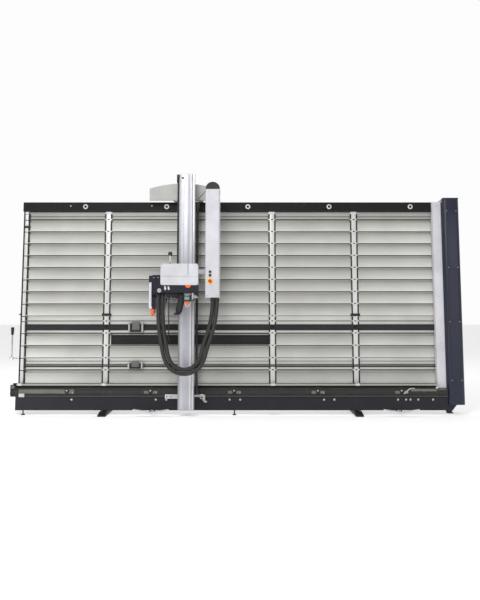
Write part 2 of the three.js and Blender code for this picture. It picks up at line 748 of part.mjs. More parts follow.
// A length stop that slides on the band of a mid rail: two cheeks and a block on a plate.
function buildStops() {
  bandRows.forEach(({ low, height }, i) => {
    const middle = low + half(height);
    const slide = at(leaning, STOP_SHARE * FIELD_LENGTH, 0, middle);
    slide.name = `joint_stop_${i + 1}`;
    const reach = half(BAND_ABOVE_RAIL_FOOT) + half(height) + half(half(BAND_ABOVE_RAIL_FOOT));
    const edge = half(STOP_WIDTH);
    const back = -half(half(STOP_PROUD));
    const plate = box([-edge, edge], [back, -CLEAR], [-reach, half(height)]);
    const cheeks = [-1, 1].map((side) => {
      const ends = [side * edge, side * (edge - CHEEK_WIDTH)].sort((a, b) => a - b);
      return box(ends, [-STOP_PROUD, back + OVERRUN], [-reach, reach]);
    });
    const core = [-half(STOP_BLOCK_WIDTH), half(STOP_BLOCK_WIDTH)];
    const block = box(core, [-STOP_BLOCK_PROUD, back + OVERRUN], [-half(reach), reach]);
    piece(slide, `length_stop_${i + 1}`, join([plate, block, ...cheeks]), "plate");
  });
}

function buildLever() {
  const hinge = at(leaning, -LEVER_OUT, 0, LEVER_HEIGHT);
  hinge.name = "joint_lever";
  const hub = bar("x", GRIP_RADIUS, [-half(GRIP_RADIUS), half(GRIP_RADIUS)], [0, 0], ROUND_SIDES);
  const shaft = bar("x", LEVER_ROD, [0, LEVER_OUT - CLEAR], [0, 0], SMALL_SIDES);
  const rod = bar("z", LEVER_ROD, [0, LEVER_LENGTH + OVERRUN], [0, 0], SMALL_SIDES);
  const grip = new THREE.CylinderGeometry(GRIP_RADIUS, GRIP_END_RADIUS, GRIP_LENGTH, ROUND_SIDES);
  grip.rotateX(tau / 4).translate(0, 0, LEVER_LENGTH + half(GRIP_LENGTH));
  piece(hinge, "support_lever", join([hub, shaft, rod, solid(grip)]), "black");
}

const beamBack = -BOARD_SPACE;
const beamFront = beamBack - BEAM_DEPTH;
const beamGroup = at(leaning, BEAM_SHARE * FIELD_LENGTH, 0, 0);
beamGroup.name = "joint_beam";

// The beam: a hollow extrusion with flutes in its face, open at both ends.
function buildBeam() {
  const side = half(BEAM_WIDTH);
  const outer = roundedRect([-side, side], [beamFront, beamBack], BEAM_WALL);
  const body = alongZ(outer, [BEAM_BOTTOM, BEAM_TOP], CORNER_STEPS);
  const inner = box(
    [BEAM_WALL - side, side - BEAM_WALL],
    [beamFront + BEAM_WALL + FLUTE_DEPTH, beamBack - BEAM_WALL],
    [BEAM_BOTTOM - OVERRUN, BEAM_TOP + OVERRUN],
  );
  const flutes = FLUTE_SHARES.map((share) => {
    const middle = share * BEAM_WIDTH;
    return box(
      [middle - half(FLUTE_WIDTH), middle + half(FLUTE_WIDTH)],
      [beamFront - OVERRUN, beamFront + FLUTE_DEPTH],
      [BEAM_BOTTOM - OVERRUN, BEAM_TOP + OVERRUN],
    );
  });
  const axle = bar(
    "x",
    AXLE_RADIUS,
    [-side - PULLEY_WIDTH - SHEET, OVERRUN - side],
    [half(beamFront + beamBack), BEAM_TOP - PULLEY_DROP],
    SMALL_SIDES,
  );
  const shoe = box(
    [-SHOE_LEFT, SHOE_RIGHT],
    [beamBack - half(BEAM_WALL), -LEDGE_DEPTH - CLEAR],
    [LEDGE_BOTTOM, LEDGE_FLOOR + SHEET],
  );
  piece(beamGroup, "beam", cut(body, [inner, ...flutes]).add(axle).add(shoe), "silver");
  const pulleySpin = at(
    beamGroup,
    -side - half(PULLEY_WIDTH) - CLEAR,
    half(beamFront + beamBack),
    BEAM_TOP - PULLEY_DROP,
  );
  pulleySpin.name = "joint_pulley";
  const rim = [-half(PULLEY_WIDTH) + CLEAR, half(PULLEY_WIDTH)];
  const wheel = bar("x", PULLEY_RADIUS, rim, [0, 0], LARGE_SIDES);
  const bore = bar("x", AXLE_RADIUS + CLEAR, rim.map((x) => 2 * x), [0, 0], SMALL_SIDES);
  const hollow = bar("x", PULLEY_DISH, [rim[0] - OVERRUN, rim[0] + SHEET], [0, 0], ROUND_SIDES);
  piece(pulleySpin, "lift_pulley", cut(wheel, [bore, hollow]), "black");
  const weight = at(beamGroup, 0, 0, ARBOR_HEIGHT);
  weight.name = "joint_counterweight";
  const inside = [beamFront + BEAM_WALL + FLUTE_DEPTH, beamBack - BEAM_WALL];
  const lump = box(
    [-half(WEIGHT_WIDTH), half(WEIGHT_WIDTH)],
    [inside[0] + CLEAR, inside[1] - CLEAR],
    [-half(WEIGHT_LENGTH), half(WEIGHT_LENGTH)],
  );
  piece(weight, "counterweight", lump, "steel");
}

// The trolley on the top rail with the half-moon shroud in front of it.
function buildTrolleys() {
  const shroudBack = beamBack + CLEAR + 2 * SHEET;
  const base = topRailTop + SHEET;
  const [left, right] = [SHROUD_OFFSET - SHROUD_HALF_WIDTH, SHROUD_OFFSET + SHROUD_HALF_WIDTH];
  const rise = SHROUD_RISE - SHROUD_SIDE;
  const radius = (SHROUD_HALF_WIDTH ** 2 + rise ** 2) / (2 * rise);
  const sweep = Math.asin(SHROUD_HALF_WIDTH / radius);
  const outline = new THREE.Shape();
  outline.moveTo(left, base);
  outline.lineTo(right, base);
  outline.absarc(SHROUD_OFFSET, base + SHROUD_RISE - radius, radius, tau / 4 - sweep, tau / 4 + sweep);
  const shroud = alongY(outline, [beamBack + CLEAR, shroudBack], ROUND_SIDES);
  const span = [-TROLLEY_HALF_WIDTH, TROLLEY_HALF_WIDTH];
  const carrier = box(
    span,
    [shroudBack - OVERRUN, -half(half(BOARD_SPACE))],
    [topRailTop + half(half(WHEEL_RADIUS)), topRailTop + TROLLEY_HEIGHT + half(WHEEL_RADIUS)],
  );
  const wheels = [-1, 1].map((side) =>
    bar(
      "y",
      WHEEL_RADIUS,
      [-half(half(BOARD_SPACE)) - OVERRUN, half(TOP_RAIL_DEPTH)],
      [side * (TROLLEY_HALF_WIDTH - WHEEL_RADIUS), topRailTop + CLEAR + WHEEL_RADIUS],
      ROUND_SIDES,
    ),
  );
  piece(beamGroup, "top_trolley", join([shroud, carrier, ...wheels]), "plate");
}

function buildConduit() {
  const x = half(BEAM_WIDTH) + CONDUIT_GAP + CONDUIT_RADIUS;
  const y = half(beamFront + beamBack);
  const tube = bar("z", CONDUIT_RADIUS, [CONDUIT_BOTTOM, CONDUIT_TOP], [x, y], SMALL_SIDES);
  const glands = [CONDUIT_TOP - GLAND_LENGTH, CONDUIT_BOTTOM].map((low) => {
    const nut = bar("z", GLAND_RADIUS, [low, low + GLAND_LENGTH], [x + CLEAR + SHEET, y], SMALL_SIDES);
    const edge = half(BEAM_WIDTH) + CLEAR;
    return nut.add(box([edge, x], [y - CONDUIT_GAP, y + CONDUIT_GAP], [low, low + GLAND_LENGTH]));
  });
  const beamEdge = box([0, half(BEAM_WIDTH) + CLEAR], [beamFront, beamBack], [0, BEAM_TOP]);
  piece(beamGroup, "cable_conduit", cut(join([tube, ...glands]), [beamEdge]), "black");
}

const ductSpan = [DUCT_OFFSET - half(DUCT_WIDTH), DUCT_OFFSET + half(DUCT_WIDTH)];
const ductBack = DUCT_DEPTH - DUCT_FRONT;
const hoseY = -half(COVER_BACK + COVER_FRONT);

function buildDuct() {
  const plan = roundedRect(ductSpan, [-DUCT_FRONT, ductBack], DUCT_CORNER);
  const inside = roundedRect(
    [ductSpan[0] + DUCT_WALL, ductSpan[1] - DUCT_WALL],
    [DUCT_WALL - DUCT_FRONT, ductBack - DUCT_WALL],
    DUCT_CORNER - DUCT_WALL,
  );
  const shaft = cut(alongZ(plan, [DUCT_BOTTOM, DUCT_TOP]), [
    alongZ(inside, [DUCT_BOTTOM + DUCT_WALL, DUCT_TOP + OVERRUN]),
  ]);
  const armY = [beamFront + SHEET, beamFront + SHEET + half(ARM_HEIGHT)];
  const armZ = [ARM_AT - half(ARM_HEIGHT), ARM_AT + half(ARM_HEIGHT)];
  const arm = box([half(BEAM_WIDTH) + CLEAR, DUCT_OFFSET], armY, armZ);
  const knee = box([ductSpan[0] + DUCT_CORNER, DUCT_OFFSET], [ductBack - OVERRUN, armY[1]], armZ);
  const faceX = DUCT_OFFSET + BUTTON_OFFSET_SHARE * DUCT_WIDTH;
  const collar = bar(
    "y",
    STOP_COLLAR_RADIUS,
    [-DUCT_FRONT - STOP_COLLAR, OVERRUN - DUCT_FRONT],
    [faceX + CLEAR, BUTTON_HEIGHTS[2]],
    ROUND_SIDES,
  );
  const stemHoles = BUTTON_HEIGHTS.map((height, i) => {
    const radius = i === BUTTON_HEIGHTS.length - 1 ? STOP_BUTTON_RADIUS : BUTTON_RADIUS;
    const depth = [-DUCT_FRONT - 2 * STOP_COLLAR, -DUCT_FRONT + 3 * BUTTON_TRAVEL];
    return bar("y", half(radius) + CLEAR, depth, [faceX, height], SMALL_SIDES);
  });
  piece(beamGroup, "duct", cut(join([shaft, arm, knee, collar]), stemHoles), "white");
  const dome = new THREE.Shape();
  dome.moveTo(ductSpan[0], DUCT_TOP + CLEAR);
  dome.lineTo(ductSpan[1], DUCT_TOP + CLEAR);
  dome.absellipse(DUCT_OFFSET, DUCT_TOP + CLEAR, half(DUCT_WIDTH), CAP_RISE, 0, half(tau));
  piece(beamGroup, "duct_cap", alongY(dome, [-DUCT_FRONT, ductBack], SMALL_SIDES), "black");
  const names = ["start_button", "reset_button", "emergency_stop"];
  BUTTON_HEIGHTS.forEach((height, i) => {
    const last = i === BUTTON_HEIGHTS.length - 1;
    const seat = -DUCT_FRONT - (last ? STOP_COLLAR : 0) - CLEAR;
    const travel = at(beamGroup, faceX, seat, height);
    travel.name = `joint_${names[i]}`;
    const radius = last ? STOP_BUTTON_RADIUS : BUTTON_RADIUS;
    const proud = last ? 2 * BUTTON_PROUD : BUTTON_PROUD;
    const head = bar("y", radius, [-proud, -BUTTON_TRAVEL], [0, 0], ROUND_SIDES);
    const stem = bar("y", half(radius), [-half(proud), BUTTON_TRAVEL], [0, 0], SMALL_SIDES);
    piece(travel, names[i], head.add(stem), last ? "red" : "black");
  });
}

// A hose's free run is a plain tube here; its ribs are left to the picture.
function hoseTube(curve) {
  const corners = Array.from({ length: HOSE_SIDES }, (_, k) => (k / HOSE_SIDES) * tau);
  const section = new THREE.Shape(
    corners.map((turn) => new THREE.Vector2(Math.cos(turn) * HOSE_RADIUS, Math.sin(turn) * HOSE_RADIUS)),
  );
  return new THREE.ExtrudeGeometry(section, { extrudePath: curve, steps: HOSE_STEPS, bevelEnabled: false });
}

// The routes of the hoses, from the head down, under the beam's middle and up to the duct.
const HOSE_ROUTES = [
  [[-330, 1497], [-330, 1440], [-328, 1260], [-318, 1080], [-290, 890], [-250, 704], [-204, 607],
    [-122, 539], [-19, 510], [86, 528], [175, 587], [230, 679], [288, 880], [350, 1070],
    [381, 1255], [391, 1380], [391, 1440]],
  [[-278, 1497], [-278, 1440], [-276, 1260], [-265, 1080], [-238, 895], [-198, 716], [-162, 640],
    [-97, 586], [-16, 563], [67, 577], [137, 624], [180, 696], [236, 895], [297, 1082],
    [329, 1262], [339, 1380], [339, 1440]],
];

function buildHoses() {
  HOSE_ROUTES.forEach((route, i) => {
    const places = route.map(([x, z]) => new THREE.Vector3(x, hoseY, z));
    places[0].z = ARBOR_HEIGHT - HOUSING_DROP - CLEAR;
    places[places.length - 1].z = DUCT_BOTTOM - CLEAR;
    const curve = new THREE.CatmullRomCurve3(places, false, "centripetal");
    piece(beamGroup, `suction_hose_${i + 1}`, solid(hoseTube(curve)), "hose");
  });
}

const headGroup = at(beamGroup, 0, 0, ARBOR_HEIGHT);
headGroup.name = "joint_head";
const plateSpan = [-PLATE_BACK - PLATE_THICKNESS, -PLATE_BACK];
const arborY = beamBack - BLADE_RADIUS;

// The carriage: a plate with the quill's ring at its left and keys that run in the beam's flutes.
function buildCarriage() {
  const [low, high] = [-CARRIAGE_DROP, CARRIAGE_RISE];
  const left = SWIVEL_OFFSET - RING_RADIUS;
  const right = half(BEAM_WIDTH) - BEAM_WALL;
  const outline = [
    [SWIVEL_OFFSET, low],
    [right, low],
    [right, high],
    [left + RING_RADIUS, high],
    [left, high - RING_RADIUS],
    [left, 0],
    [SWIVEL_OFFSET, 0],
  ];
  const plate = alongY(outline, plateSpan);
  const ring = bar("y", RING_RADIUS, plateSpan, [SWIVEL_OFFSET, 0], LARGE_SIDES);
  const saddle = box([-right, right], [-PLATE_BACK - OVERRUN, beamFront - CLEAR], [low, high]);
  const keys = FLUTE_SHARES.map((share) => {
    const middle = share * BEAM_WIDTH;
    return box(
      [middle - half(FLUTE_WIDTH) + CLEAR, middle + half(FLUTE_WIDTH) - CLEAR],
      [beamFront - OVERRUN, beamFront + FLUTE_DEPTH - CLEAR],
      [low, high],
    );
  });
  const bracket = box(
    [half(right), right],
    [-COVER_FRONT + COVER_WALL + CLEAR, -PLATE_BACK - PLATE_THICKNESS + OVERRUN],
    [COVER_WALL + CLEAR - HOUSING_DROP, high - half(PLATE_THICKNESS)],
  );
  const bore = bar("y", QUILL_RADIUS + CLEAR, [-COVER_FRONT, beamFront], [SWIVEL_OFFSET, 0], LARGE_SIDES);
  piece(headGroup, "head_carriage", cut(join([plate, ring, saddle, ...keys, bracket]), [bore]), "grey");
}

// A shell drawn along y, open at its back, with the given side left open as well.
function shell(x, z, radius, openX, openZ) {
  const outer = alongY(roundedRect(x, z, radius), [-COVER_FRONT, -COVER_BACK]);
  const inner = alongY(
    roundedRect(openX, openZ, half(radius)),
    [-COVER_FRONT + COVER_WALL, -COVER_BACK + OVERRUN],
  );
  return cut(outer, [inner]);
}

function buildCover() {
  const [low, high] = [-COVER_DROP, COVER_RISE];
  const cover = shell(
    [COVER_LEFT, COVER_RIGHT],
    [low, high],
    COVER_RADIUS,
    [COVER_LEFT + COVER_WALL, COVER_RIGHT - COVER_WALL],
    [low - COVER_RADIUS, high - COVER_WALL],
  );
  const ears = [-1, 1].map((side) => {
    const inner = LEVER_OFFSET + side * (BALL_ROD + CLEAR);
    const edges = [inner, inner + side * BALL_ROD].sort((a, b) => a - b);
    const depth = [hoseY - 2 * BALL_ROD, hoseY + 2 * BALL_ROD];
    return box(edges, depth, [high - half(COVER_WALL), high + 3 * BALL_ROD]);
  });
  piece(headGroup, "head_cover", join([cover, ...ears]), "white");
  const lever = at(headGroup, LEVER_OFFSET, hoseY, high + 2 * BALL_ROD);
  lever.name = "joint_plunge_lever";
  const reach = BALL_RISE - COVER_RISE - 2 * BALL_ROD;
  const barrel = bar("x", BALL_ROD, [-BALL_ROD, BALL_ROD], [0, 0], SMALL_SIDES);
  const rod = bar("z", BALL_STEM, [0, reach], [0, 0], SMALL_SIDES);
  const ball = solid(new THREE.SphereGeometry(BALL_RADIUS, ROUND_SIDES, SMALL_SIDES).translate(0, 0, reach));
  piece(lever, "plunge_lever", join([barrel, rod, ball]), "black");
}

function buildHousing() {
  const [low, high] = [-HOUSING_DROP, -COVER_DROP - CLEAR];
  const housing = shell(
    [HOUSING_LEFT, COVER_RIGHT],
    [low, high],
    COVER_WALL,
    [COVER_LEFT + COVER_WALL, COVER_RIGHT - COVER_WALL],
    [low + COVER_WALL, high + COVER_RADIUS],
  );
  const [left, right] = [DISPLAY_OFFSET - half(DISPLAY_WIDTH), DISPLAY_OFFSET + half(DISPLAY_WIDTH)];
  const display = box([left, right], [-COVER_FRONT, hoseY], [low - DISPLAY_HEIGHT, low + half(COVER_WALL)]);
  const screen = box(
    [left + COVER_WALL, right - COVER_WALL],
    [-COVER_FRONT - OVERRUN, -COVER_FRONT + half(COVER_WALL)],
    [low - SCREEN_SHARES[1] * DISPLAY_HEIGHT, low - SCREEN_SHARES[0] * DISPLAY_HEIGHT],
  );
  piece(headGroup, "saw_housing", cut(housing.add(display), [screen]), "blue");
  const drop = HANDLE_DROP - HOUSING_DROP;
  const top = low - CLEAR;
  const grip = HANDLE_SHARES.map(([across, down]) => [
    left - CLEAR + across * DISPLAY_WIDTH,
    top - down * drop,
  ]);
  const thick = half(HANDLE_THICKNESS);
  piece(headGroup, "pistol_handle", alongY(grip, [hoseY - thick, hoseY + thick]), "black");
  const lock = at(headGroup, DISPLAY_OFFSET, hoseY - thick, low - DISPLAY_HEIGHT - CLEAR - LOCK_BOSS);
  lock.name = "joint_brake_lever";
  const disc = bar("y", LOCK_BOSS, [-thick, 0], [0, 0], ROUND_SIDES);
  const pointer = [
    [-LOCK_POINTER, -BUTTON_TRAVEL],
    [0, -LOCK_HEIGHT],
    [LOCK_POINTER, -BUTTON_TRAVEL],
  ];
  piece(lock, "brake_lever", disc.add(alongY(pointer, [-thick, 0])), "orange");
}

const quillGroup = at(headGroup, SWIVEL_OFFSET, 0, 0);
quillGroup.name = "joint_plunge";
const sawGroup = at(quillGroup, 0, 0, 0);
sawGroup.name = "joint_swivel";
const flangeFront = -PLATE_BACK + 2 * SHEET;
const bladeX = half(MOTOR_LEFT + HOOD_LEFT) - 2 * SHEET;

function buildMotor() {
  const front = -PLATE_BACK - PLATE_THICKNESS - PLUNGE - 4 * SHEET;
  const quill = bar("y", QUILL_RADIUS, [front, flangeFront - CLEAR], [0, 0], LARGE_SIDES);
  piece(quillGroup, "plunge_quill", quill, "steel");
  const barrel = bar("x", MOTOR_RADIUS, [MOTOR_LEFT, MOTOR_RIGHT], [arborY, 0], LARGE_SIDES);
  const pitch = (MOTOR_RIGHT - MOTOR_LEFT) / (MOTOR_FINS + 2);
  const grooves = Array.from({ length: MOTOR_FINS }, (_, i) => {
    const start = MOTOR_LEFT + (i + 1 + FIN_SHARE) * pitch;
    const gap = [start, start + (1 - FIN_SHARE) * pitch];
    const outer = bar("x", MOTOR_RADIUS + OVERRUN, gap, [arborY, 0], LARGE_SIDES);
    const kept = [start - OVERRUN, start + pitch];
    const core = bar("x", MOTOR_RADIUS - 2 * SHEET, kept, [arborY, 0], LARGE_SIDES);
    return cut(outer, [core]);
  });
  const flange = bar("y", RING_RADIUS - SHEET, [flangeFront, arborY], [0, 0], LARGE_SIDES);
  piece(sawGroup, "saw_motor", cut(barrel, grooves).add(flange), "grey");
}

// The toothed blade with its arbor and clamping flange.
function buildBlade() {
  const spin = at(sawGroup, bladeX, arborY, 0);
  spin.name = "joint_blade";
  const outline = new THREE.Shape();
  const pitch = tau / BLADE_TEETH;
  for (let i = 0; i < BLADE_TEETH; i += 1) {
    const turn = i * pitch;
    const tip = [BLADE_RADIUS * Math.cos(turn), BLADE_RADIUS * Math.sin(turn)];
    const root = BLADE_RADIUS - TOOTH_DEPTH;
    const feet = TOOTH_SHARES.map((share) => turn + share * pitch);
    if (i === 0) outline.moveTo(...tip);
    else outline.lineTo(...tip);
    feet.forEach((foot) => outline.lineTo(root * Math.cos(foot), root * Math.sin(foot)));
  }
  const options = { depth: BLADE_THICKNESS, bevelEnabled: false };
  const disc = new THREE.ExtrudeGeometry(outline, options).translate(0, 0, -half(BLADE_THICKNESS));
  disc.rotateY(tau / 4);
  const arbor = bar("x", ARBOR_RADIUS, [0, MOTOR_LEFT - CLEAR - bladeX], [0, 0], ROUND_SIDES);
  const flange = bar("x", 2 * ARBOR_RADIUS, [-2 * SHEET, 2 * SHEET], [0, 0], ROUND_SIDES);
  piece(spin, "saw_blade", join([solid(disc), arbor, flange]), "steel");
}

// The hood: a rounded box over the front of the blade, with a side cover, a shoe and its tip.
function buildHood() {
  const [front, rim] = [arborY - HOOD_BOTTOM, arborY + HOOD_RIM];
  const right = MOTOR_LEFT - CLEAR;
  const corner = half(HOOD_RIM);
  const profile = (inset, back) => [
    [back, inset - HOOD_BOTTOM],
    [back, HOOD_TOP - inset],
    [front + corner, HOOD_TOP - inset],
    [front + inset, HOOD_TOP - corner],
    [front + inset, corner - HOOD_BOTTOM],
    [front + corner, inset - HOOD_BOTTOM],
  ].reverse();
  const outer = alongX(profile(0, rim), [HOOD_LEFT, right]);
  const inner = alongX(profile(HOOD_WALL, rim + OVERRUN), [HOOD_LEFT + HOOD_WALL, right - HOOD_WALL]);
  const through = [right - 2 * HOOD_WALL, right + OVERRUN];
  const hole = bar("x", ARBOR_RADIUS + SHEET, through, [arborY, 0], ROUND_SIDES);
  const shoeBack = beamFront - PLUNGE - 2 * SHEET;
  const side = box(
    [HOOD_COVER_LEFT, HOOD_LEFT + OVERRUN],
    [front + 2 * SHEET, shoeBack],
    [-SIDE_BOTTOM, HOOD_TOP - 2 * HOOD_WALL],
  );
  const shoe = box(
    [HOOD_LEFT - 2 * HOOD_WALL, right - HOOD_RIM + HOOD_WALL],
    [front + HOOD_WALL, shoeBack],
    [-SHOE_BOTTOM, half(HOOD_WALL) - HOOD_BOTTOM],
  );
  const tip = box(
    [HOOD_LEFT - HOOD_WALL, right - HOOD_RIM],
    [front + 2 * HOOD_WALL, shoeBack],
    [-TIP_BOTTOM, OVERRUN - SHOE_BOTTOM],
  );
  piece(sawGroup, "blade_hood", join([cut(outer, [inner, hole]), side, shoe, tip]), "navy");
}

buildSlats();
buildMidRails();
buildStrips();
buildLeftEnd();
buildPosts();
buildTopRail();
buildLedge();
buildSkirt();
buildPedals();
buildRightEnd();
const grilleWindow = buildGrille();
buildStops();
buildLever();
buildBeam();
buildTrolleys();
buildConduit();
buildDuct();
buildHoses();
buildCarriage();
buildCover();
buildHousing();
buildMotor();
buildBlade();
buildHood();

// The window for the grille in the slat that carries it.
machine.traverse((mesh) => {
  if (mesh.name !== `slat_${FULL_SLATS + 1}`) return;
  mesh.geometry = geometryOf(solid(mesh.geometry).subtract(grilleWindow));
});

// The floor point under the middle of the machine, without its loose hoses, is the origin.
machine.updateMatrixWorld(true);
const bounds = new THREE.Box3();
machine.traverse((mesh) => {
  if (mesh.isMesh && !mesh.name.startsWith("suction_hose")) bounds.expandByObject(mesh, true);
});
const middle = bounds.getCenter(new THREE.Vector3());
machine.position.set(-middle.x, -middle.y, 0);

const root = new THREE.Group();
root.add(machine);
export default root;
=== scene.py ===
"""Upright panel saw, dressed for the picture on the frame of its CAD model."""

import json
import math

import bmesh
import bpy
from mathutils import Matrix, Vector
from mathutils.geometry import interpolate_bezier

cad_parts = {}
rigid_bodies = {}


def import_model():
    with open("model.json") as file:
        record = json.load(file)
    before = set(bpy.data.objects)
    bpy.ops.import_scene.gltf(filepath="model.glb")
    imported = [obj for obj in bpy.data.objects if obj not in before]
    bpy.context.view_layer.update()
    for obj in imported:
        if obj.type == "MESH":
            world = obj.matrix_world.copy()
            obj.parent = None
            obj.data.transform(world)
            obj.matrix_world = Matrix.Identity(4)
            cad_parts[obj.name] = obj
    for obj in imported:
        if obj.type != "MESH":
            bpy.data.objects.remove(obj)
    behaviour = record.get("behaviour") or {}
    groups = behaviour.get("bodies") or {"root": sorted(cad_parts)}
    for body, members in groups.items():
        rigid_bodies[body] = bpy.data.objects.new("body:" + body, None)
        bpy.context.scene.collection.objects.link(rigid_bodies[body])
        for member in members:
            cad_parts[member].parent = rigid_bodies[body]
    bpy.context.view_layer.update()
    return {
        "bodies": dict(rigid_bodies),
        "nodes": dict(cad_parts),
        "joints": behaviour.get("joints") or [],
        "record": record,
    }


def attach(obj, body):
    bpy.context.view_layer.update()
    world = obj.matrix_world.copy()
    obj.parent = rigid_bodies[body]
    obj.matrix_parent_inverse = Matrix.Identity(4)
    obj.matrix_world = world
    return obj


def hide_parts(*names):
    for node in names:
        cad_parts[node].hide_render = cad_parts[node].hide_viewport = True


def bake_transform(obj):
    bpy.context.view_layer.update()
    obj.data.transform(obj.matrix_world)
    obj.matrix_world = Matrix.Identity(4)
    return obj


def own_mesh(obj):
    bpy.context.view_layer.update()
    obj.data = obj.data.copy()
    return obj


# Lengths are in metres. Places on the machine are (x from the left end of the slats,
# y behind the face of a leaning sheet, h up the slope from the floor).
LEAN = math.radians(6)
MACHINE_AT = Vector((-2.78065, -0.214537, 0))
LEANED = Matrix.Translation(MACHINE_AT) @ Matrix.Rotation(-LEAN, 4, "X")

CAMERA_AT = Vector((0.050, -8.562, 1.45))
CAMERA_LENS = 39.42
CAMERA_SENSOR = 36

BEAM_AT = 2.157
HOSE_Y = -0.423
HOSE_RADIUS = 0.0248
HOSE_CREST = 0.0027
HOSE_PITCH = 0.0125
HOSE_SIDES = 20
RINGS_PER_PITCH = 6
HOSE_STEPS = 24
CREST_SHARPNESS = 3
HOSE_ROUTES = {
    "suction_hose_1": [
        (-0.330, 1.4967), (-0.330, 1.440), (-0.328, 1.260), (-0.318, 1.080), (-0.290, 0.890),
        (-0.250, 0.704), (-0.204, 0.607), (-0.122, 0.539), (-0.019, 0.510), (0.086, 0.528),
        (0.175, 0.587), (0.230, 0.679), (0.288, 0.880), (0.350, 1.070), (0.381, 1.255),
        (0.391, 1.380), (0.391, 1.4397),
    ],
    "suction_hose_2": [
        (-0.278, 1.4967), (-0.278, 1.440), (-0.276, 1.260), (-0.265, 1.080), (-0.238, 0.895),
        (-0.198, 0.716), (-0.162, 0.640), (-0.097, 0.586), (-0.016, 0.563), (0.067, 0.577),
        (0.137, 0.624), (0.180, 0.696), (0.236, 0.895), (0.297, 1.082), (0.329, 1.262),
        (0.339, 1.380), (0.339, 1.4397),
    ],
}

SLAT_LENGTH = 5.333
SLAT_FACE = 0.0123
SLAT_STEP = 0.007
SLAT_LIP_HEIGHT = 0.038
SHADOW_LINE_HEIGHT = 0.009
SHADE_BAND_THICKNESS = 0.0015
SLAT_PITCH = 0.158
HIGHEST_SLAT = 2.519
EVEN_SLATS = 8
SLAT_TOPS = [HIGHEST_SLAT - SLAT_PITCH * row for row in range(EVEN_SLATS)] + [1.032, 0.874, 0.561]
SLAT_FEET = [top - SLAT_PITCH for top in SLAT_TOPS[:EVEN_SLATS]] + [0.874, 0.716, 0.391]
SHELL_DEPTH = 0.0105
SHELL_FOOT = 0.005
SHELL_STEPS = 12
GRILLE_TOP = 1.032
GRILLE = (1.171, 3.245)
SLAT_LINES = sorted(SLAT_TOPS + [1.255, 1.187, 0.716], reverse=True)

UPRIGHTS = [1.109, 2.179, 3.249, 4.319]
UPRIGHT_SPAN = (0.391, 2.622)
CORE_HALF = 0.028
PAD_EDGES = [(-0.047, -0.031), (0.031, 0.047)]
PAD_BREAK = 0.018
PAD_TOOTH = 0.0125
BANDS = [(1.070, 1.141), (0.599, 0.631)]

TOP_RAIL = (2.625, 2.745)
TOP_RAIL_FRONT = -0.014
FIRST_CAP = 0.808
CAP_PITCH = 1.063
CAPS = [FIRST_CAP + CAP_PITCH * index for index in range(5)]
CAP_RADIUS = 0.0305


def clear_scene():
    bpy.ops.object.select_all(action="SELECT")
    bpy.ops.object.delete()


def deselect():
    bpy.ops.object.select_all(action="DESELECT")


def on_machine(x, y, h):
    return LEANED @ Vector((x, y, h))


def centripetal(points, steps):
    """A smooth line through the points, spaced by the square root of their distance."""
    ends = [points[0] * 2 - points[1]] + points + [points[-1] * 2 - points[-2]]
    line = []
    for index in range(1, len(ends) - 2):
        a, b, c, d = ends[index - 1:index + 3]
        ab = math.sqrt((b - a).length)
        bc = math.sqrt((c - b).length)
        cd = math.sqrt((d - c).length)
        leave = ((b - a) / ab - (c - a) / (ab + bc) + (c - b) / bc) * bc
        arrive = ((c - b) / bc - (d - b) / (bc + cd) + (d - c) / cd) * bc
        piece = interpolate_bezier(b, b + leave / 3, c - arrive / 3, c, steps + 1)
        line.extend(piece[:-1])
    line.append(points[-1])
    return line


def evenly(line, step):
    """The line again, with points the same distance apart."""
    lengths = [0.0]
    for a, b in zip(line, line[1:]):
        lengths.append(lengths[-1] + (b - a).length)
    total = lengths[-1]
    count = round(total / step)
    points = []
    index = 0
    for k in range(count + 1):
        wanted = total * k / count
        while index < len(line) - 2 and lengths[index + 1] < wanted:
            index += 1
        share = (wanted - lengths[index]) / (lengths[index + 1] - lengths[index])
        points.append(line[index].lerp(line[index + 1], share))
    return points, total


def hose_mesh(name, points):
    """A hose with a raised wire wound along it; its seam runs at the back."""
    mesh = bpy.data.meshes.new(name)
    shape = bmesh.new()
    uv_layer = shape.loops.layers.uv.new("UVMap")
    back = Vector((0, 1, 0))
    step = HOSE_PITCH / RINGS_PER_PITCH
    rings = []
    for k, point in enumerate(points):
        ahead = points[min(k + 1, len(points) - 1)] - points[max(k - 1, 0)]
        side = ahead.cross(back).normalized()
        up = side.cross(ahead).normalized()
        ring = []
        for s in range(HOSE_SIDES):
            turn = math.tau * s / HOSE_SIDES
            wave = math.cos(math.tau * k * step / HOSE_PITCH - turn)
            radius = HOSE_RADIUS + HOSE_CREST * max(wave, 0) ** CREST_SHARPNESS
            outward = up * math.cos(turn) + side * math.sin(turn)
            ring.append(shape.verts.new(point + outward * radius))
        rings.append(ring)
    for k, (near, far) in enumerate(zip(rings, rings[1:])):
        for s in range(HOSE_SIDES):
            t = (s + 1) % HOSE_SIDES
            face = shape.faces.new((near[s], near[t], far[t], far[s]))
            face.smooth = True
            corners = ((s, k), (s + 1, k), (s + 1, k + 1), (s, k + 1))
            for loop, (around, along) in zip(face.loops, corners):
                loop[uv_layer].uv = (around / HOSE_SIDES, along / RINGS_PER_PITCH)
    shape.faces.new(rings[0])
    shape.faces.new(list(reversed(rings[-1])))
    bmesh.ops.recalc_face_normals(shape, faces=shape.faces)
    shape.to_mesh(mesh)
    shape.free()
    obj = bpy.data.objects.new(name, mesh)
    bpy.context.scene.collection.objects.link(obj)
    return obj


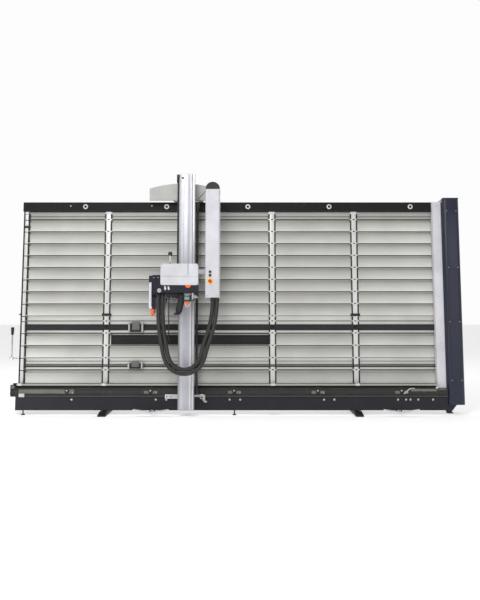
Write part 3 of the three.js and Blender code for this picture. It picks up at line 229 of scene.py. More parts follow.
def build_hoses():
    """Each hose is a ribbed tube along its route from the head to the duct, in place of its CAD node."""
    hoses = []
    for node, route in HOSE_ROUTES.items():
        along = [on_machine(BEAM_AT + x, HOSE_Y, h) for x, h in route]
        points, length = evenly(centripetal(along, HOSE_STEPS), HOSE_PITCH / RINGS_PER_PITCH)
        hose = hose_mesh("ribbed_" + node, points)
        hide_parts(node)
        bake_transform(hose)
        hoses.append(hose)
    return hoses


def add_camera():
    data = bpy.data.cameras.new("camera")
    data.lens = CAMERA_LENS
    data.sensor_width = CAMERA_SENSOR
    camera = bpy.data.objects.new("camera", data)
    camera.location = CAMERA_AT
    camera.rotation_euler = (math.radians(90), 0, 0)
    bpy.context.scene.collection.objects.link(camera)
    bpy.context.scene.camera = camera


OUTPUTS = (("Colour", "NodeSocketColor"), ("Roughness", "NodeSocketFloat"), ("Height", "NodeSocketFloat"))


# Shared effects. Each is a node group that reads the piece's own Object coordinates and puts
# out a colour, a roughness and a height.
def new_group(name, inputs):
    group = bpy.data.node_groups.new(name, "ShaderNodeTree")
    for socket, kind, value in inputs:
        made = group.interface.new_socket(name=socket, in_out="INPUT", socket_type=kind)
        made.default_value = value
    for socket, kind in OUTPUTS:
        group.interface.new_socket(name=socket, in_out="OUTPUT", socket_type=kind)
    nodes = group.nodes
    return group, nodes, group.links, nodes.new("NodeGroupInput"), nodes.new("NodeGroupOutput")


def noise(nodes, links, scale, detail=3, stretch=(1, 1, 1), vector=None):
    """A noise on Object coordinates; stretch is how much finer it runs along x, y and z."""
    texture = nodes.new("ShaderNodeTexNoise")
    texture.inputs["Scale"].default_value = scale
    texture.inputs["Detail"].default_value = detail
    mapping = nodes.new("ShaderNodeMapping")
    mapping.inputs["Scale"].default_value = stretch
    if vector is None:
        vector = nodes.new("ShaderNodeTexCoord").outputs["Object"]
    links.new(vector, mapping.inputs["Vector"])
    links.new(mapping.outputs["Vector"], texture.inputs["Vector"])
    return texture.outputs["Fac"]


def spread(nodes, links, value, low, high, start=0.0, end=1.0):
    """The value, taken from start..end to low..high."""
    span = nodes.new("ShaderNodeMapRange")
    span.inputs["From Min"].default_value = start
    span.inputs["From Max"].default_value = end
    for socket, target in (("To Min", low), ("To Max", high)):
        if isinstance(target, (int, float)):
            span.inputs[socket].default_value = target
        else:
            links.new(target, span.inputs[socket])
    links.new(value, span.inputs["Value"])
    return span.outputs["Result"]


def blend_colours(nodes, links, share, first, second, mode="MIX"):
    mix = nodes.new("ShaderNodeMix")
    mix.data_type = "RGBA"
    mix.blend_type = mode
    for socket, value in ((0, share), (6, first), (7, second)):
        if isinstance(value, bpy.types.NodeSocket):
            links.new(value, mix.inputs[socket])
        else:
            mix.inputs[socket].default_value = value
    return mix.outputs[2]


def calculate(nodes, links, operation, first, second=0.0):
    maths = nodes.new("ShaderNodeMath")
    maths.operation = operation
    for index, value in enumerate((first, second)):
        if isinstance(value, bpy.types.NodeSocket):
            links.new(value, maths.inputs[index])
        else:
            maths.inputs[index].default_value = value
    return maths.outputs[0]


def powder_coat_group():
    """Sprayed and baked paint: orange peel, an uneven tone and scuffs in a colour of their own."""
    inputs = [
        ("Colour", "NodeSocketColor", (0.5, 0.5, 0.5, 1)),
        ("Scuff Colour", "NodeSocketColor", (0.6, 0.6, 0.6, 1)),
        ("Roughness", "NodeSocketFloat", 0.45),
        ("Peel", "NodeSocketFloat", 0.5),
        ("Scuffs", "NodeSocketFloat", 0.2),
    ]
    group, nodes, links, given, out = new_group("powder coat", inputs)
    peel = noise(nodes, links, scale=420, detail=2)
    cloud = noise(nodes, links, scale=3.2, detail=3)
    streaks = noise(nodes, links, scale=26, detail=5, stretch=(1, 1, 0.35))
    tone = spread(nodes, links, cloud, low=0.86, high=1.12, start=0.3, end=0.7)
    toned = blend_colours(nodes, links, 1.0, given.outputs["Colour"], tone, "MULTIPLY")
    rubbed = spread(nodes, links, streaks, low=0.0, high=given.outputs["Scuffs"], start=0.58, end=0.74)
    coloured = blend_colours(nodes, links, rubbed, toned, given.outputs["Scuff Colour"])
    uneven = spread(nodes, links, cloud, low=-0.06, high=0.08)
    rough = calculate(nodes, links, "ADD", given.outputs["Roughness"], uneven)
    rubbed_rough = calculate(nodes, links, "MULTIPLY", rubbed, 0.3)
    links.new(coloured, out.inputs["Colour"])
    links.new(calculate(nodes, links, "ADD", rough, rubbed_rough), out.inputs["Roughness"])
    links.new(calculate(nodes, links, "MULTIPLY", peel, given.outputs["Peel"]), out.inputs["Height"])
    return group


def drawn_metal_group():
    """Extruded or brushed metal: fine lines along one axis, soft clouds and a few handling marks."""
    inputs = [
        ("Colour", "NodeSocketColor", (0.5, 0.5, 0.5, 1)),
        ("Mark Colour", "NodeSocketColor", (0.3, 0.3, 0.3, 1)),
        ("Roughness", "NodeSocketFloat", 0.35),
        ("Line Scale", "NodeSocketVector", (0.02, 1, 1)),
        ("Lines", "NodeSocketFloat", 0.5),
    ]
    group, nodes, links, given, out = new_group("drawn metal", inputs)
    place = nodes.new("ShaderNodeTexCoord").outputs["Object"]
    mapping = nodes.new("ShaderNodeMapping")
    links.new(place, mapping.inputs["Vector"])
    links.new(given.outputs["Line Scale"], mapping.inputs["Scale"])
    lines = noise(nodes, links, scale=260, detail=4, vector=mapping.outputs["Vector"])
    cloud = noise(nodes, links, scale=2.4, detail=4)
    spots = noise(nodes, links, scale=34, detail=4)
    clouded = spread(nodes, links, cloud, low=0.93, high=1.07, start=0.3, end=0.7)
    lined = spread(nodes, links, lines, low=-0.05, high=0.05, start=0.3, end=0.7)
    tone = calculate(nodes, links, "ADD", clouded, lined)
    toned = blend_colours(nodes, links, 1.0, given.outputs["Colour"], tone, "MULTIPLY")
    marked = spread(nodes, links, spots, low=0.0, high=0.35, start=0.66, end=0.82)
    coloured = blend_colours(nodes, links, marked, toned, given.outputs["Mark Colour"])
    links.new(coloured, out.inputs["Colour"])
    shine = spread(nodes, links, lines, low=-0.07, high=0.07, start=0.3, end=0.7)
    links.new(calculate(nodes, links, "ADD", given.outputs["Roughness"], shine), out.inputs["Roughness"])
    links.new(calculate(nodes, links, "MULTIPLY", lines, given.outputs["Lines"]), out.inputs["Height"])
    return group


def moulded_group():
    """Moulded plastic and rubber: fine grain and patches of dust."""
    inputs = [
        ("Colour", "NodeSocketColor", (0.03, 0.03, 0.03, 1)),
        ("Dust Colour", "NodeSocketColor", (0.3, 0.28, 0.25, 1)),
        ("Roughness", "NodeSocketFloat", 0.5),
        ("Grain", "NodeSocketFloat", 0.5),
        ("Dust", "NodeSocketFloat", 0.1),
    ]
    group, nodes, links, given, out = new_group("moulded", inputs)
    grain = noise(nodes, links, scale=900, detail=2)
    cloud = noise(nodes, links, scale=9, detail=4)
    settled = spread(nodes, links, cloud, low=0.0, high=1.0, start=0.35, end=0.75)
    dusted = calculate(nodes, links, "MULTIPLY", settled, given.outputs["Dust"])
    coloured = blend_colours(nodes, links, dusted, given.outputs["Colour"], given.outputs["Dust Colour"])
    uneven = spread(nodes, links, cloud, low=-0.08, high=0.1, start=0.3, end=0.7)
    rough = calculate(nodes, links, "ADD", given.outputs["Roughness"], uneven)
    links.new(coloured, out.inputs["Colour"])
    links.new(rough, out.inputs["Roughness"])
    links.new(calculate(nodes, links, "MULTIPLY", grain, given.outputs["Grain"]), out.inputs["Height"])
    return group


RELIEF_STRENGTH = 0.6


def finish(name, group, metallic, bump, values, specular=0.5):
    """A material whose Principled shader is fed by one of the shared effects."""
    made = bpy.data.materials.new(name)
    made.use_nodes = True
    nodes, links = made.node_tree.nodes, made.node_tree.links
    shader = nodes["Principled BSDF"]
    shader.inputs["Metallic"].default_value = metallic
    shader.inputs["Specular IOR Level"].default_value = specular
    effect = nodes.new("ShaderNodeGroup")
    effect.node_tree = group
    for socket, value in values.items():
        effect.inputs[socket].default_value = value
    relief = nodes.new("ShaderNodeBump")
    relief.inputs["Distance"].default_value = bump
    relief.inputs["Strength"].default_value = RELIEF_STRENGTH
    links.new(effect.outputs["Height"], relief.inputs["Height"])
    links.new(relief.outputs["Normal"], shader.inputs["Normal"])
    links.new(effect.outputs["Colour"], shader.inputs["Base Color"])
    links.new(effect.outputs["Roughness"], shader.inputs["Roughness"])
    return made


PAINT_RELIEF = 0.0004
METAL_RELIEF = 0.0003
ALONG_X = (0.012, 1, 1)
ALONG_SLOPE = (1, 1, 0.012)
TURNED = (1, 0.05, 1)
DUST = (0.3, 0.28, 0.25, 1)
BLUE_SCUFF = (0.05, 0.055, 0.085, 1)
# The slats' colour at their foot, and the painted shade they blend into towards their top.
SLAT_FOOT_COLOUR = (0.56, 0.557, 0.53, 1)
SLAT_TOP_SHADE = (0.335, 0.332, 0.31, 1)
SLAT_SHADE_STARTS = 0.15
SLAT_SHADE_FULL = 1.05


def grey(level, warm=0.0):
    return (level * (1 + warm), level, level * (1 - warm), 1)


def painted(group, name, colour, scuff, rough=0.42, peel=0.5, scuffs=0.15, specular=0.5):
    values = {
        "Colour": colour,
        "Scuff Colour": scuff,
        "Roughness": rough,
        "Peel": peel,
        "Scuffs": scuffs,
    }
    return finish(name, group, 0.0, PAINT_RELIEF, values, specular)


def drawn(group, name, colour, mark, rough, along, metallic=0.85, lines=0.5):
    values = {
        "Colour": colour,
        "Mark Colour": mark,
        "Roughness": rough,
        "Line Scale": along,
        "Lines": lines,
    }
    return finish(name, group, metallic, METAL_RELIEF, values)


def moulded(group, name, colour, rough=0.5, grain=0.5, dust=0.12, dust_colour=DUST, specular=0.35):
    values = {
        "Colour": colour,
        "Dust Colour": dust_colour,
        "Roughness": rough,
        "Grain": grain,
        "Dust": dust,
    }
    return finish(name, group, 0.0, METAL_RELIEF, values, specular)


def shaded_slat(group):
    """The slats' anodised face, with painted shade: darker towards the top of each slat."""
    made = drawn(group, "anodised slat faces with painted shade", SLAT_FOOT_COLOUR, grey(0.34), 0.42, ALONG_X, 0.55, 0.25)
    nodes, links = made.node_tree.nodes, made.node_tree.links
    share = nodes.new("ShaderNodeAttribute")
    share.attribute_name = "Share"
    # Painted shade: the colour darkens from the slat's foot to its top.
    painted_shade = spread(nodes, links, share.outputs["Fac"], low=0, high=1, start=SLAT_SHADE_STARTS, end=SLAT_SHADE_FULL)
    colour = blend_colours(nodes, links, painted_shade, SLAT_FOOT_COLOUR, SLAT_TOP_SHADE)
    effect = next(node for node in nodes if node.bl_idname == "ShaderNodeGroup")
    links.new(colour, effect.inputs["Colour"])
    return made


# A paint has a name, a colour, the colour of its scuffs and what differs from the usual values.
PAINTS = {
    "rail": ("black rail paint", grey(0.017), grey(0.06), dict(rough=0.45, specular=0.25)),
    # The top rail's paint is the rail paint made darker: painted shade against the light it gets from
    # above.
    "top_rail": ("top rail paint with painted shade", grey(0.010), grey(0.04), dict(rough=0.5, specular=0.15)),
    "post": ("black frame paint", (0.018, 0.018, 0.021, 1), grey(0.07), dict(rough=0.5, specular=0.25)),
    "ledge": ("ledge paint", grey(0.017), grey(0.06), dict(rough=0.5, scuffs=0.3, specular=0.22)),
    "ledge_face": (
        "ledge face paint",
        (0.026, 0.026, 0.023, 1),
        grey(0.08),
        dict(rough=0.45, scuffs=0.4, specular=0.28),
    ),
    # The paler ledge paint: the roller plates' worn paint, and painted sheen on the ledge's pale strips.
    "ledge_bright": (
        "worn ledge paint and painted sheen",
        (0.135, 0.134, 0.112, 1),
        grey(0.2),
        dict(rough=0.4, scuffs=0.5, specular=0.4),
    ),
    "skirt": ("skirt paint", (0.012, 0.0125, 0.017, 1), (0.04, 0.04, 0.05, 1), dict(specular=0.3)),
    "cast_dark": ("skirt edge paint", grey(0.05, 0.03), grey(0.12), dict(rough=0.45)),
    "column": ("column paint", (0.016, 0.019, 0.037, 1), BLUE_SCUFF, dict(rough=0.36, specular=0.35)),
    "column_plate": (
        "column plate paint",
        (0.019, 0.022, 0.043, 1),
        BLUE_SCUFF,
        dict(rough=0.3, specular=0.35),
    ),
    "white": ("white paint", (0.565, 0.565, 0.60, 1), grey(0.5), dict(rough=0.4, peel=0.4, scuffs=0.12)),
    "pale": ("pale panel paint", (0.66, 0.66, 0.70, 1), grey(0.5), dict(rough=0.35)),
    "crease": ("cover crease shadow", (0.24, 0.25, 0.30, 1), grey(0.3), dict(rough=0.5)),
    "grey_plate": ("grey plate paint", (0.40, 0.40, 0.385, 1), grey(0.3), dict(rough=0.46)),
    "groove": ("beam grooves", grey(0.20), grey(0.3), dict(rough=0.6)),
    "housing": (
        "housing paint",
        (0.012, 0.012, 0.023, 1),
        (0.05, 0.05, 0.07, 1),
        dict(rough=0.45, peel=0.9, specular=0.3),
    ),
    "housing_dark": (
        "machinery paint",
        (0.010, 0.010, 0.016, 1),
        grey(0.05),
        dict(rough=0.45, specular=0.3),
    ),
    "cast": ("cast paint", grey(0.11), grey(0.2), dict(rough=0.5, peel=1.0)),
    "screen": (
        "screen glass",
        (0.16, 0.30, 0.32, 1),
        (0.30, 0.42, 0.44, 1),
        dict(rough=0.18, peel=0.1, scuffs=0.05),
    ),
}
# A metal has a name, a colour, the colour of its marks, a roughness, the way its lines run, how
# metallic it is and, where they differ, how deep its lines are.
METALS = {
    "slat": ("anodised slats", (0.50, 0.497, 0.468, 1), grey(0.34), 0.42, ALONG_X, 0.25, 0.7),
    # The recess grey serves as painted shade in the slats' recesses and on the top plates, and as the
    # colour of the ledge trim and shroud rim.
    "insert_grey_and_shade": ("slat recess", (0.34, 0.34, 0.315, 1), grey(0.25), 0.5, ALONG_X, 0.25),
    "strip": ("upright profile", (0.60, 0.60, 0.585, 1), grey(0.40), 0.4, ALONG_SLOPE, 0.25),
    "beam": ("beam extrusion", (0.64, 0.64, 0.68, 1), grey(0.45), 0.34, ALONG_SLOPE, 0.45),
    "dark_ties_and_beam_shade": ("beam edge extrusion", (0.27, 0.27, 0.28, 1), grey(0.2), 0.4, ALONG_SLOPE, 0.5),
    "beam_band": ("beam recess extrusion", (0.44, 0.45, 0.50, 1), grey(0.35), 0.4, ALONG_SLOPE, 0.45),
    "steel": ("ground steel", grey(0.5), grey(0.25), 0.3, TURNED, 1.0),
}
# A plastic has a name, a colour and what differs from the usual values.
PLASTICS = {
    "black_plastic": ("black plastic", grey(0.014), dict(dust=0.06)),
    "rubber": ("pad rubber", grey(0.012), dict(rough=0.6, grain=0.8, dust=0.05)),
    # The gasket black also serves as painted shadow under the slats' lips.
    "gasket": ("black gasket and painted shadow", grey(0.015), dict(rough=0.6, dust=0.1)),
    "roller": ("roller tread", grey(0.018), dict(rough=0.55, grain=0.8, dust=0.15)),
    "grip": ("handle plastic", (0.007, 0.007, 0.008, 1), dict(grain=0.7, dust=0.03, specular=0.22)),
    "hose": (
        "hose rubber",
        (0.015, 0.015, 0.013, 1),
        dict(rough=0.36, dust_colour=(0.06, 0.058, 0.05, 1), specular=0.45),
    ),
    "orange": ("orange plastic", (0.80, 0.145, 0.03, 1), dict(rough=0.35, grain=0.3, dust=0.05)),
    "yellow": ("yellow plastic", (0.84, 0.64, 0.08, 1), dict(rough=0.4, grain=0.3, dust=0.05)),
    "red": ("red plastic", (0.62, 0.035, 0.02, 1), dict(rough=0.3, grain=0.2, dust=0.03)),
    "red_dark": ("trigger plastic", (0.12, 0.012, 0.012, 1), dict(rough=0.4, grain=0.4, dust=0.05)),
    "green": ("button plastic", (0.025, 0.035, 0.035, 1), dict(rough=0.35, grain=0.2, dust=0.05)),
}


def make_finishes():
    paint = powder_coat_group()
    metal = drawn_metal_group()
    plastic = moulded_group()
    finishes = {"slat_face": shaded_slat(metal)}
    for key, (name, colour, scuff, values) in PAINTS.items():
        finishes[key] = painted(paint, name, colour, scuff, **values)
    for key, row in METALS.items():
        finishes[key] = drawn(metal, *row)
    for key, (name, colour, values) in PLASTICS.items():
        finishes[key] = moulded(plastic, name, colour, **values)
    return finishes


def dress_frame(frame, finishes):
    """Gives every CAD node the finish of its material slot."""
    for node in frame["nodes"].values():
        slot = node.data.materials[0].name.split(".")[0]
        node.data.materials[0] = finishes[slot]
    # The top rail takes the darker copy of the rail paint, as painted shade.
    frame["nodes"]["top_rail"].data.materials[0] = finishes["top_rail"]


WORLD_LIGHT = 0.55
WORLD_SEEN = 0.98
FLOOR_SIZE = 60
FLOOR_GREY = (0.90, 0.90, 0.90, 1)
FLOOR_ROUGHNESS = 0.8
FLOOR_SPECULAR = 0.1
FLOOR_GLOW = 0.34
LIGHTS_AIM = Vector((0, 0, 1.3))
# Each light: its place, the side of its square and its power in watts.
LIGHTS = {
    "key": ((-2.5, -6.0, 7.5), 3.5, 330),
    "fill": ((5.0, -7.0, 3.5), 4.5, 70),
    "rim": ((0.0, 5.5, 5.0), 4.0, 120),
    "left": ((-5.6, -6.6, 0.9), 1.8, 60),
}


def add_studio():
    world = bpy.data.worlds.new("studio")
    bpy.context.scene.world = world
    world.use_nodes = True
    nodes, links = world.node_tree.nodes, world.node_tree.links
    nodes["Background"].inputs["Color"].default_value = (1, 1, 1, 1)
    ray = nodes.new("ShaderNodeLightPath")
    strength = spread(nodes, links, ray.outputs["Is Camera Ray"], WORLD_LIGHT, WORLD_SEEN)
    links.new(strength, nodes["Background"].inputs["Strength"])
    deselect()
    bpy.ops.mesh.primitive_plane_add(size=FLOOR_SIZE, location=(0, 0, 0))
    floor = bpy.context.object
    floor.name = "studio_floor"
    pale = bpy.data.materials.new("studio floor")
    pale.use_nodes = True
    shader = pale.node_tree.nodes["Principled BSDF"]
    shader.inputs["Base Color"].default_value = FLOOR_GREY
    shader.inputs["Roughness"].default_value = FLOOR_ROUGHNESS
    shader.inputs["Specular IOR Level"].default_value = FLOOR_SPECULAR
    shader.inputs["Emission Color"].default_value = (1, 1, 1, 1)
    shader.inputs["Emission Strength"].default_value = FLOOR_GLOW
    floor.data.materials.append(pale)
    for name, (place, size, power) in LIGHTS.items():
        data = bpy.data.lights.new(name, "AREA")
        data.size = size
        data.energy = power
        lamp = bpy.data.objects.new(name, data)
        lamp.location = place
        lamp.rotation_euler = (LIGHTS_AIM - Vector(place)).to_track_quat("-Z", "Y").to_euler()
        bpy.context.scene.collection.objects.link(lamp)


# How edges are rounded: the width alone, or the width and the number of steps.
LINE_EDGE = 0.0004
HAIR_EDGE = 0.0005
FINE_EDGE = 0.0006
SCREW_EDGE = 0.0008
THIN_EDGE = 0.001
PLAIN_EDGE = 0.0015
EASED_EDGE = 0.002
FIRM_EDGE = 0.003
WIDE_EDGE = 0.004
KNOB_EDGE = 0.005
OVAL_EDGE = 0.006
TOOTH_EDGE = (0.001, 1)
FOLD_EDGE = (0.0015, 3)
ROUND_EDGE = (0.003, 3)
SOFT_EDGE = (0.004, 3)
SOFTER_EDGE = (0.005, 3)
BROAD_EDGE = (0.006, 3)
GRIP_EDGE = (0.010, 4)
# Each screw's radius, and how far its head stands out.
SMALL_SCREW = (0.006, 0.003)
PLATE_SCREW_SIZE = (0.007, 0.003)
COLUMN_SCREW = (0.0055, 0.003)
SHROUD_SCREW = (0.007, 0.004)
SHOE_SCREW = (0.008, 0.003)
SKIRT_BOLT = (0.009, 0.005)
HUB_SCREW_SIZE = (0.0105, 0.0022)
SOCKET_MARGIN = 0.45
SOCKET_DEPTH = 0.6
# How far a recess stays from the rim, and its depth.
CAP_RECESS = (0.011, 0.004)
LEVER_RECESS = (0.007, 0.006)
HATCH_RECESS = (0.012, 0.0015)
HOLE_RECESS = (0.004, 0.004)
DISPLAY_RECESS = (0.005, 0.003)


def select_only(obj):
    deselect()
    obj.select_set(True)
    bpy.context.view_layer.objects.active = obj


def apply_modifier(obj, kind, **values):
    """Adds a modifier with the given values and applies it at once."""
    modifier = obj.modifiers.new(kind.lower(), kind)
    for key, value in values.items():
        setattr(modifier, key, value)
    select_only(obj)
    bpy.ops.object.modifier_apply(modifier=modifier.name)


def settle(obj):
    """Puts the object's place and size into its mesh."""
    select_only(obj)
    bpy.ops.object.transform_apply(location=True, rotation=True, scale=True)
    return obj


def block(name, x, y, h, bevel=PLAIN_EDGE, segments=2):
    """A block between two edges on each axis of the machine, with its edges rounded."""
    deselect()
    middle = [sum(edges) / 2 for edges in (x, y, h)]
    bpy.ops.mesh.primitive_cube_add(size=1, location=middle)
    obj = bpy.context.object
    obj.name = name
    obj.scale = [edges[1] - edges[0] for edges in (x, y, h)]
    settle(obj)
    if bevel:
        apply_modifier(obj, "BEVEL", width=bevel, segments=segments, limit_method="ANGLE")
    return obj


def around(middle, half):
    """The two edges that lie equally far from a middle."""
    return (middle - half, middle + half)


def both_sides(middle, off):
    """The two pairs of edges that lie the same way off a middle, left and right."""
    near, far = off
    return [(middle - far, middle - near), (middle + near, middle + far)]


def moved(edges, by):
    """The edges, all moved by the same length."""
    return tuple(by + edge for edge in edges)


def blocks(name, rows, bevel=PLAIN_EDGE, segments=2):
    """Several blocks as one piece; each row has a block's edges on x, y and h."""
    return joined(name, [block(name, *row, bevel, segments) for row in rows])


RIM_ANGLE = math.radians(50)
SMOOTH_ANGLE = math.radians(35)
TURNS = {"x": (0, math.radians(90), 0), "y": (math.radians(-90), 0, 0), "h": (0, 0, 0)}


def round_rims(obj, width):
    """Rounds the sharp rims of a turned piece and leaves its faceted side as it is."""
    apply_modifier(obj, "BEVEL", width=width, segments=2, limit_method="ANGLE", angle_limit=RIM_ANGLE)


def rod(name, axis, radius, span, centre, sides=24, bevel=THIN_EDGE, tip=None):
    """A round bar along one axis; tip is its radius at the far end."""
    deselect()
    middle, length = sum(span) / 2, span[1] - span[0]
    place = {
        "x": (middle, centre[0], centre[1]),
        "y": (centre[0], middle, centre[1]),
        "h": (centre[0], centre[1], middle),
    }[axis]
    far = radius if tip is None else tip
    bpy.ops.mesh.primitive_cone_add(
        vertices=sides, radius1=radius, radius2=far, depth=length, location=place, rotation=TURNS[axis]
    )
    obj = bpy.context.object
    obj.name = name
    settle(obj)
    if bevel:
        round_rims(obj, bevel)
    return obj


def flat_ring(name, outer, inner, span, centre, sides=48, bevel=THIN_EDGE):
    """A washer facing front: two circles bridged, thickened and with its edges rounded."""
    deselect()
    for radius in (outer, inner):
        bpy.ops.mesh.primitive_circle_add(
            vertices=sides, radius=radius, location=(centre[0], span[0], centre[1]), rotation=TURNS["y"]
        )
        settle(bpy.context.object)
        if radius == outer:
            first = bpy.context.object
    ring = joined(name, [first, bpy.context.object])
    select_only(ring)
    bpy.ops.object.mode_set(mode="EDIT")
    bpy.ops.mesh.select_mode(type="EDGE")
    bpy.ops.mesh.select_all(action="SELECT")
    bpy.ops.mesh.bridge_edge_loops()
    bpy.ops.mesh.select_all(action="SELECT")
    bpy.ops.mesh.extrude_region_move(TRANSFORM_OT_translate={"value": (0, span[1] - span[0], 0)})
    bpy.ops.mesh.select_all(action="SELECT")
    bpy.ops.mesh.normals_make_consistent(inside=False)
    bpy.ops.object.mode_set(mode="OBJECT")
    round_rims(ring, bevel)
    return ring


def faces_at(obj, axis, level, near=0.00005):
    """Selects, in edit mode, the faces whose middle lies at that level of the axis."""
    select_only(obj)
    bpy.ops.object.mode_set(mode="EDIT")
    bpy.ops.mesh.select_mode(type="FACE")
    bpy.ops.mesh.select_all(action="DESELECT")
    bpy.ops.object.mode_set(mode="OBJECT")
    for face in obj.data.polygons:
        face.select = abs(face.center[axis] - level) < near
    bpy.ops.object.mode_set(mode="EDIT")


def sunk(obj, axis, level, margin, depth):
    """Insets the faces at that level and pushes them in along the axis."""
    faces_at(obj, axis, level)
    bpy.ops.mesh.inset(thickness=margin)
    push = [0, 0, 0]
    push[axis] = depth
    bpy.ops.mesh.extrude_region_move(TRANSFORM_OT_translate={"value": push})
    bpy.ops.object.mode_set(mode="OBJECT")
    return obj


def copies(obj, offsets):
    """The object and a copy of its mesh at each further offset, joined into one."""
    made = [obj]
    for offset in offsets:
        twin = obj.copy()
        twin.data = obj.data.copy()
        twin.data.transform(Matrix.Translation(offset))
        bpy.context.scene.collection.objects.link(twin)
        made.append(twin)
    return joined(obj.name, made)


def joined(name, parts):
    deselect()
    for part in parts:
        part.select_set(True)
    bpy.context.view_layer.objects.active = parts[0]
    if len(parts) > 1:
        bpy.ops.object.join()
    parts[0].name = name
    return parts[0]


def outline_piece(name, points, axis, span, bevel=PLAIN_EDGE, segments=2):
    """A flat outline, pulled along an axis between two levels. Its points are given on the other
    two axes, in the order x, y, h."""
    others = [index for index in range(3) if index != axis]
    mesh = bpy.data.meshes.new(name)
    corners = []
    for a, b in points:
        corner = [0, 0, 0]
        corner[others[0]], corner[others[1]], corner[axis] = a, b, span[0]
        corners.append(corner)
    mesh.from_pydata(corners, [], [list(range(len(points)))])
    obj = bpy.data.objects.new(name, mesh)
    bpy.context.scene.collection.objects.link(obj)
    select_only(obj)
    bpy.ops.object.mode_set(mode="EDIT")
    bpy.ops.mesh.select_all(action="SELECT")
    push = [0, 0, 0]
    push[axis] = span[1] - span[0]
    bpy.ops.mesh.extrude_region_move(TRANSFORM_OT_translate={"value": push})
    bpy.ops.mesh.select_all(action="SELECT")
    bpy.ops.mesh.normals_make_consistent(inside=False)
    bpy.ops.object.mode_set(mode="OBJECT")
    if bevel:
        apply_modifier(obj, "BEVEL", width=bevel, segments=segments, limit_method="ANGLE")
    return obj


def arc_points(centre, radius, start, end, steps):
    """Points on an arc, from one angle to another in degrees."""
    angles = [math.radians(start + (end - start) * step / steps) for step in range(steps + 1)]
    return [(centre[0] + radius * math.cos(a), centre[1] + radius * math.sin(a)) for a in angles]


def mount(obj, material, body, replaces=()):
    """Leans the finished piece with the machine, paints it and hangs it on its body."""
    obj.data.transform(LEANED)
    obj.data.materials.clear()
    obj.data.materials.append(material)
    select_only(obj)
    bpy.ops.object.shade_smooth_by_angle(angle=SMOOTH_ANGLE)
    if replaces:
        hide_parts(*replaces)
    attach(obj, body)
    return obj


def screw_head(name, x, y, h, radius=0.008, proud=0.004):
    """A socket screw seen from the front."""
    head = rod(name, "y", radius, (y - proud, y), (x, h), sides=16, bevel=SCREW_EDGE)
    return sunk(head, 1, y - proud, radius * SOCKET_MARGIN, proud * SOCKET_DEPTH)


def row_of(obj, places):
    """Repeats the object, which stands at the first place, at the others too."""
    first = places[0]
    return copies(obj, [Vector(place) - Vector(first) for place in places[1:]])


ALONG_SLATS = (0.0035, SLAT_LENGTH - 0.0005)
SHADOW_LINE_OVERHANG = 0.002
EDGE_GAP = 0.0008
TOUCH_GAP = 0.0002
SHADOW_LINE_BACK = 0.003
SHADE_BAND_FOOT = 0.003
SHELL_TOP_GAP = 0.001
SHELL_FOOT_GAP = 0.0015
SHELL_PROUD = 0.0004


def dress_slats(finishes):
    """Each slat's black line of painted shadow under its lip, its recess strip of painted shade and the
    rolled face.
    """
    recess = SLAT_FACE + SLAT_STEP
    top = SLAT_TOPS[0]
    lifts = [(0, 0, level) for level in SLAT_TOPS]
    # Painted shadow: a black strip under each slat's lip stands for the shadow line there.
    shadow_line_depth = (SLAT_FACE + EDGE_GAP, recess + SHADOW_LINE_BACK)
    shadow_line_edges = (top - SHADOW_LINE_HEIGHT + SHADOW_LINE_OVERHANG, top + SHADOW_LINE_OVERHANG)
    gasket = block("slat_shadow_lines", ALONG_SLATS, shadow_line_depth, shadow_line_edges, FINE_EDGE)
    mount(row_of(gasket, lifts), finishes["gasket"], "frame")
    # Painted shade: a darker strip in each slat's recess stands for the shade under the slat above.
    shade_band_depth = (recess - SHADE_BAND_THICKNESS, recess - TOUCH_GAP)
    shade_band_edges = (top - SLAT_LIP_HEIGHT + SHADE_BAND_FOOT, top - SHADOW_LINE_HEIGHT)
    insert_grey_and_shade = block("slat_shade_bands", ALONG_SLATS, shade_band_depth, shade_band_edges, LINE_EDGE)
    mount(row_of(insert_grey_and_shade, lifts), finishes["insert_grey_and_shade"], "frame")
    faces = []
    for top, foot in zip(SLAT_TOPS, SLAT_FEET):
        reaches = [ALONG_SLATS]
        if top == GRILLE_TOP:
            reaches = [(ALONG_SLATS[0], GRILLE[0]), (GRILLE[1], ALONG_SLATS[1])]
        faces.extend(slat_shell(top, foot, reach) for reach in reaches)
    faces = joined("slat_faces", faces)
    shade_by_share(faces)
    mount(faces, finishes["slat_face"], "frame")


def shade_by_share(obj):
    """Stores how far up its own slat each point of the faces lies, for the painted shade that darkens each
    slat towards its top.
    """
    layer = obj.data.attributes.new("Share", "FLOAT", "POINT")
    for point, value in zip(obj.data.vertices, layer.data):
        spans = [(foot, top) for top, foot in zip(SLAT_TOPS, SLAT_FEET) if foot <= point.co.z <= top]
        foot, top = spans[0]
        value.value = (point.co.z - foot) / (top - SLAT_LIP_HEIGHT - foot)


def slat_shell(top, foot, along):
    """The hollow-rolled face of a slat: its edges stand forward of its middle."""
    high = top - SLAT_LIP_HEIGHT - SHELL_TOP_GAP
    low = foot + SHELL_FOOT_GAP
    profile = []
    for step in range(SHELL_STEPS + 1):
        share = step / SHELL_STEPS
        rise = (2 * share - 1) ** 2
        depth = SHELL_DEPTH if share > 0.5 else SHELL_FOOT
        profile.append((SLAT_FACE - SHELL_PROUD - depth * rise, low + (high - low) * share))
    return outline_piece("shell", profile, 0, along, 0)


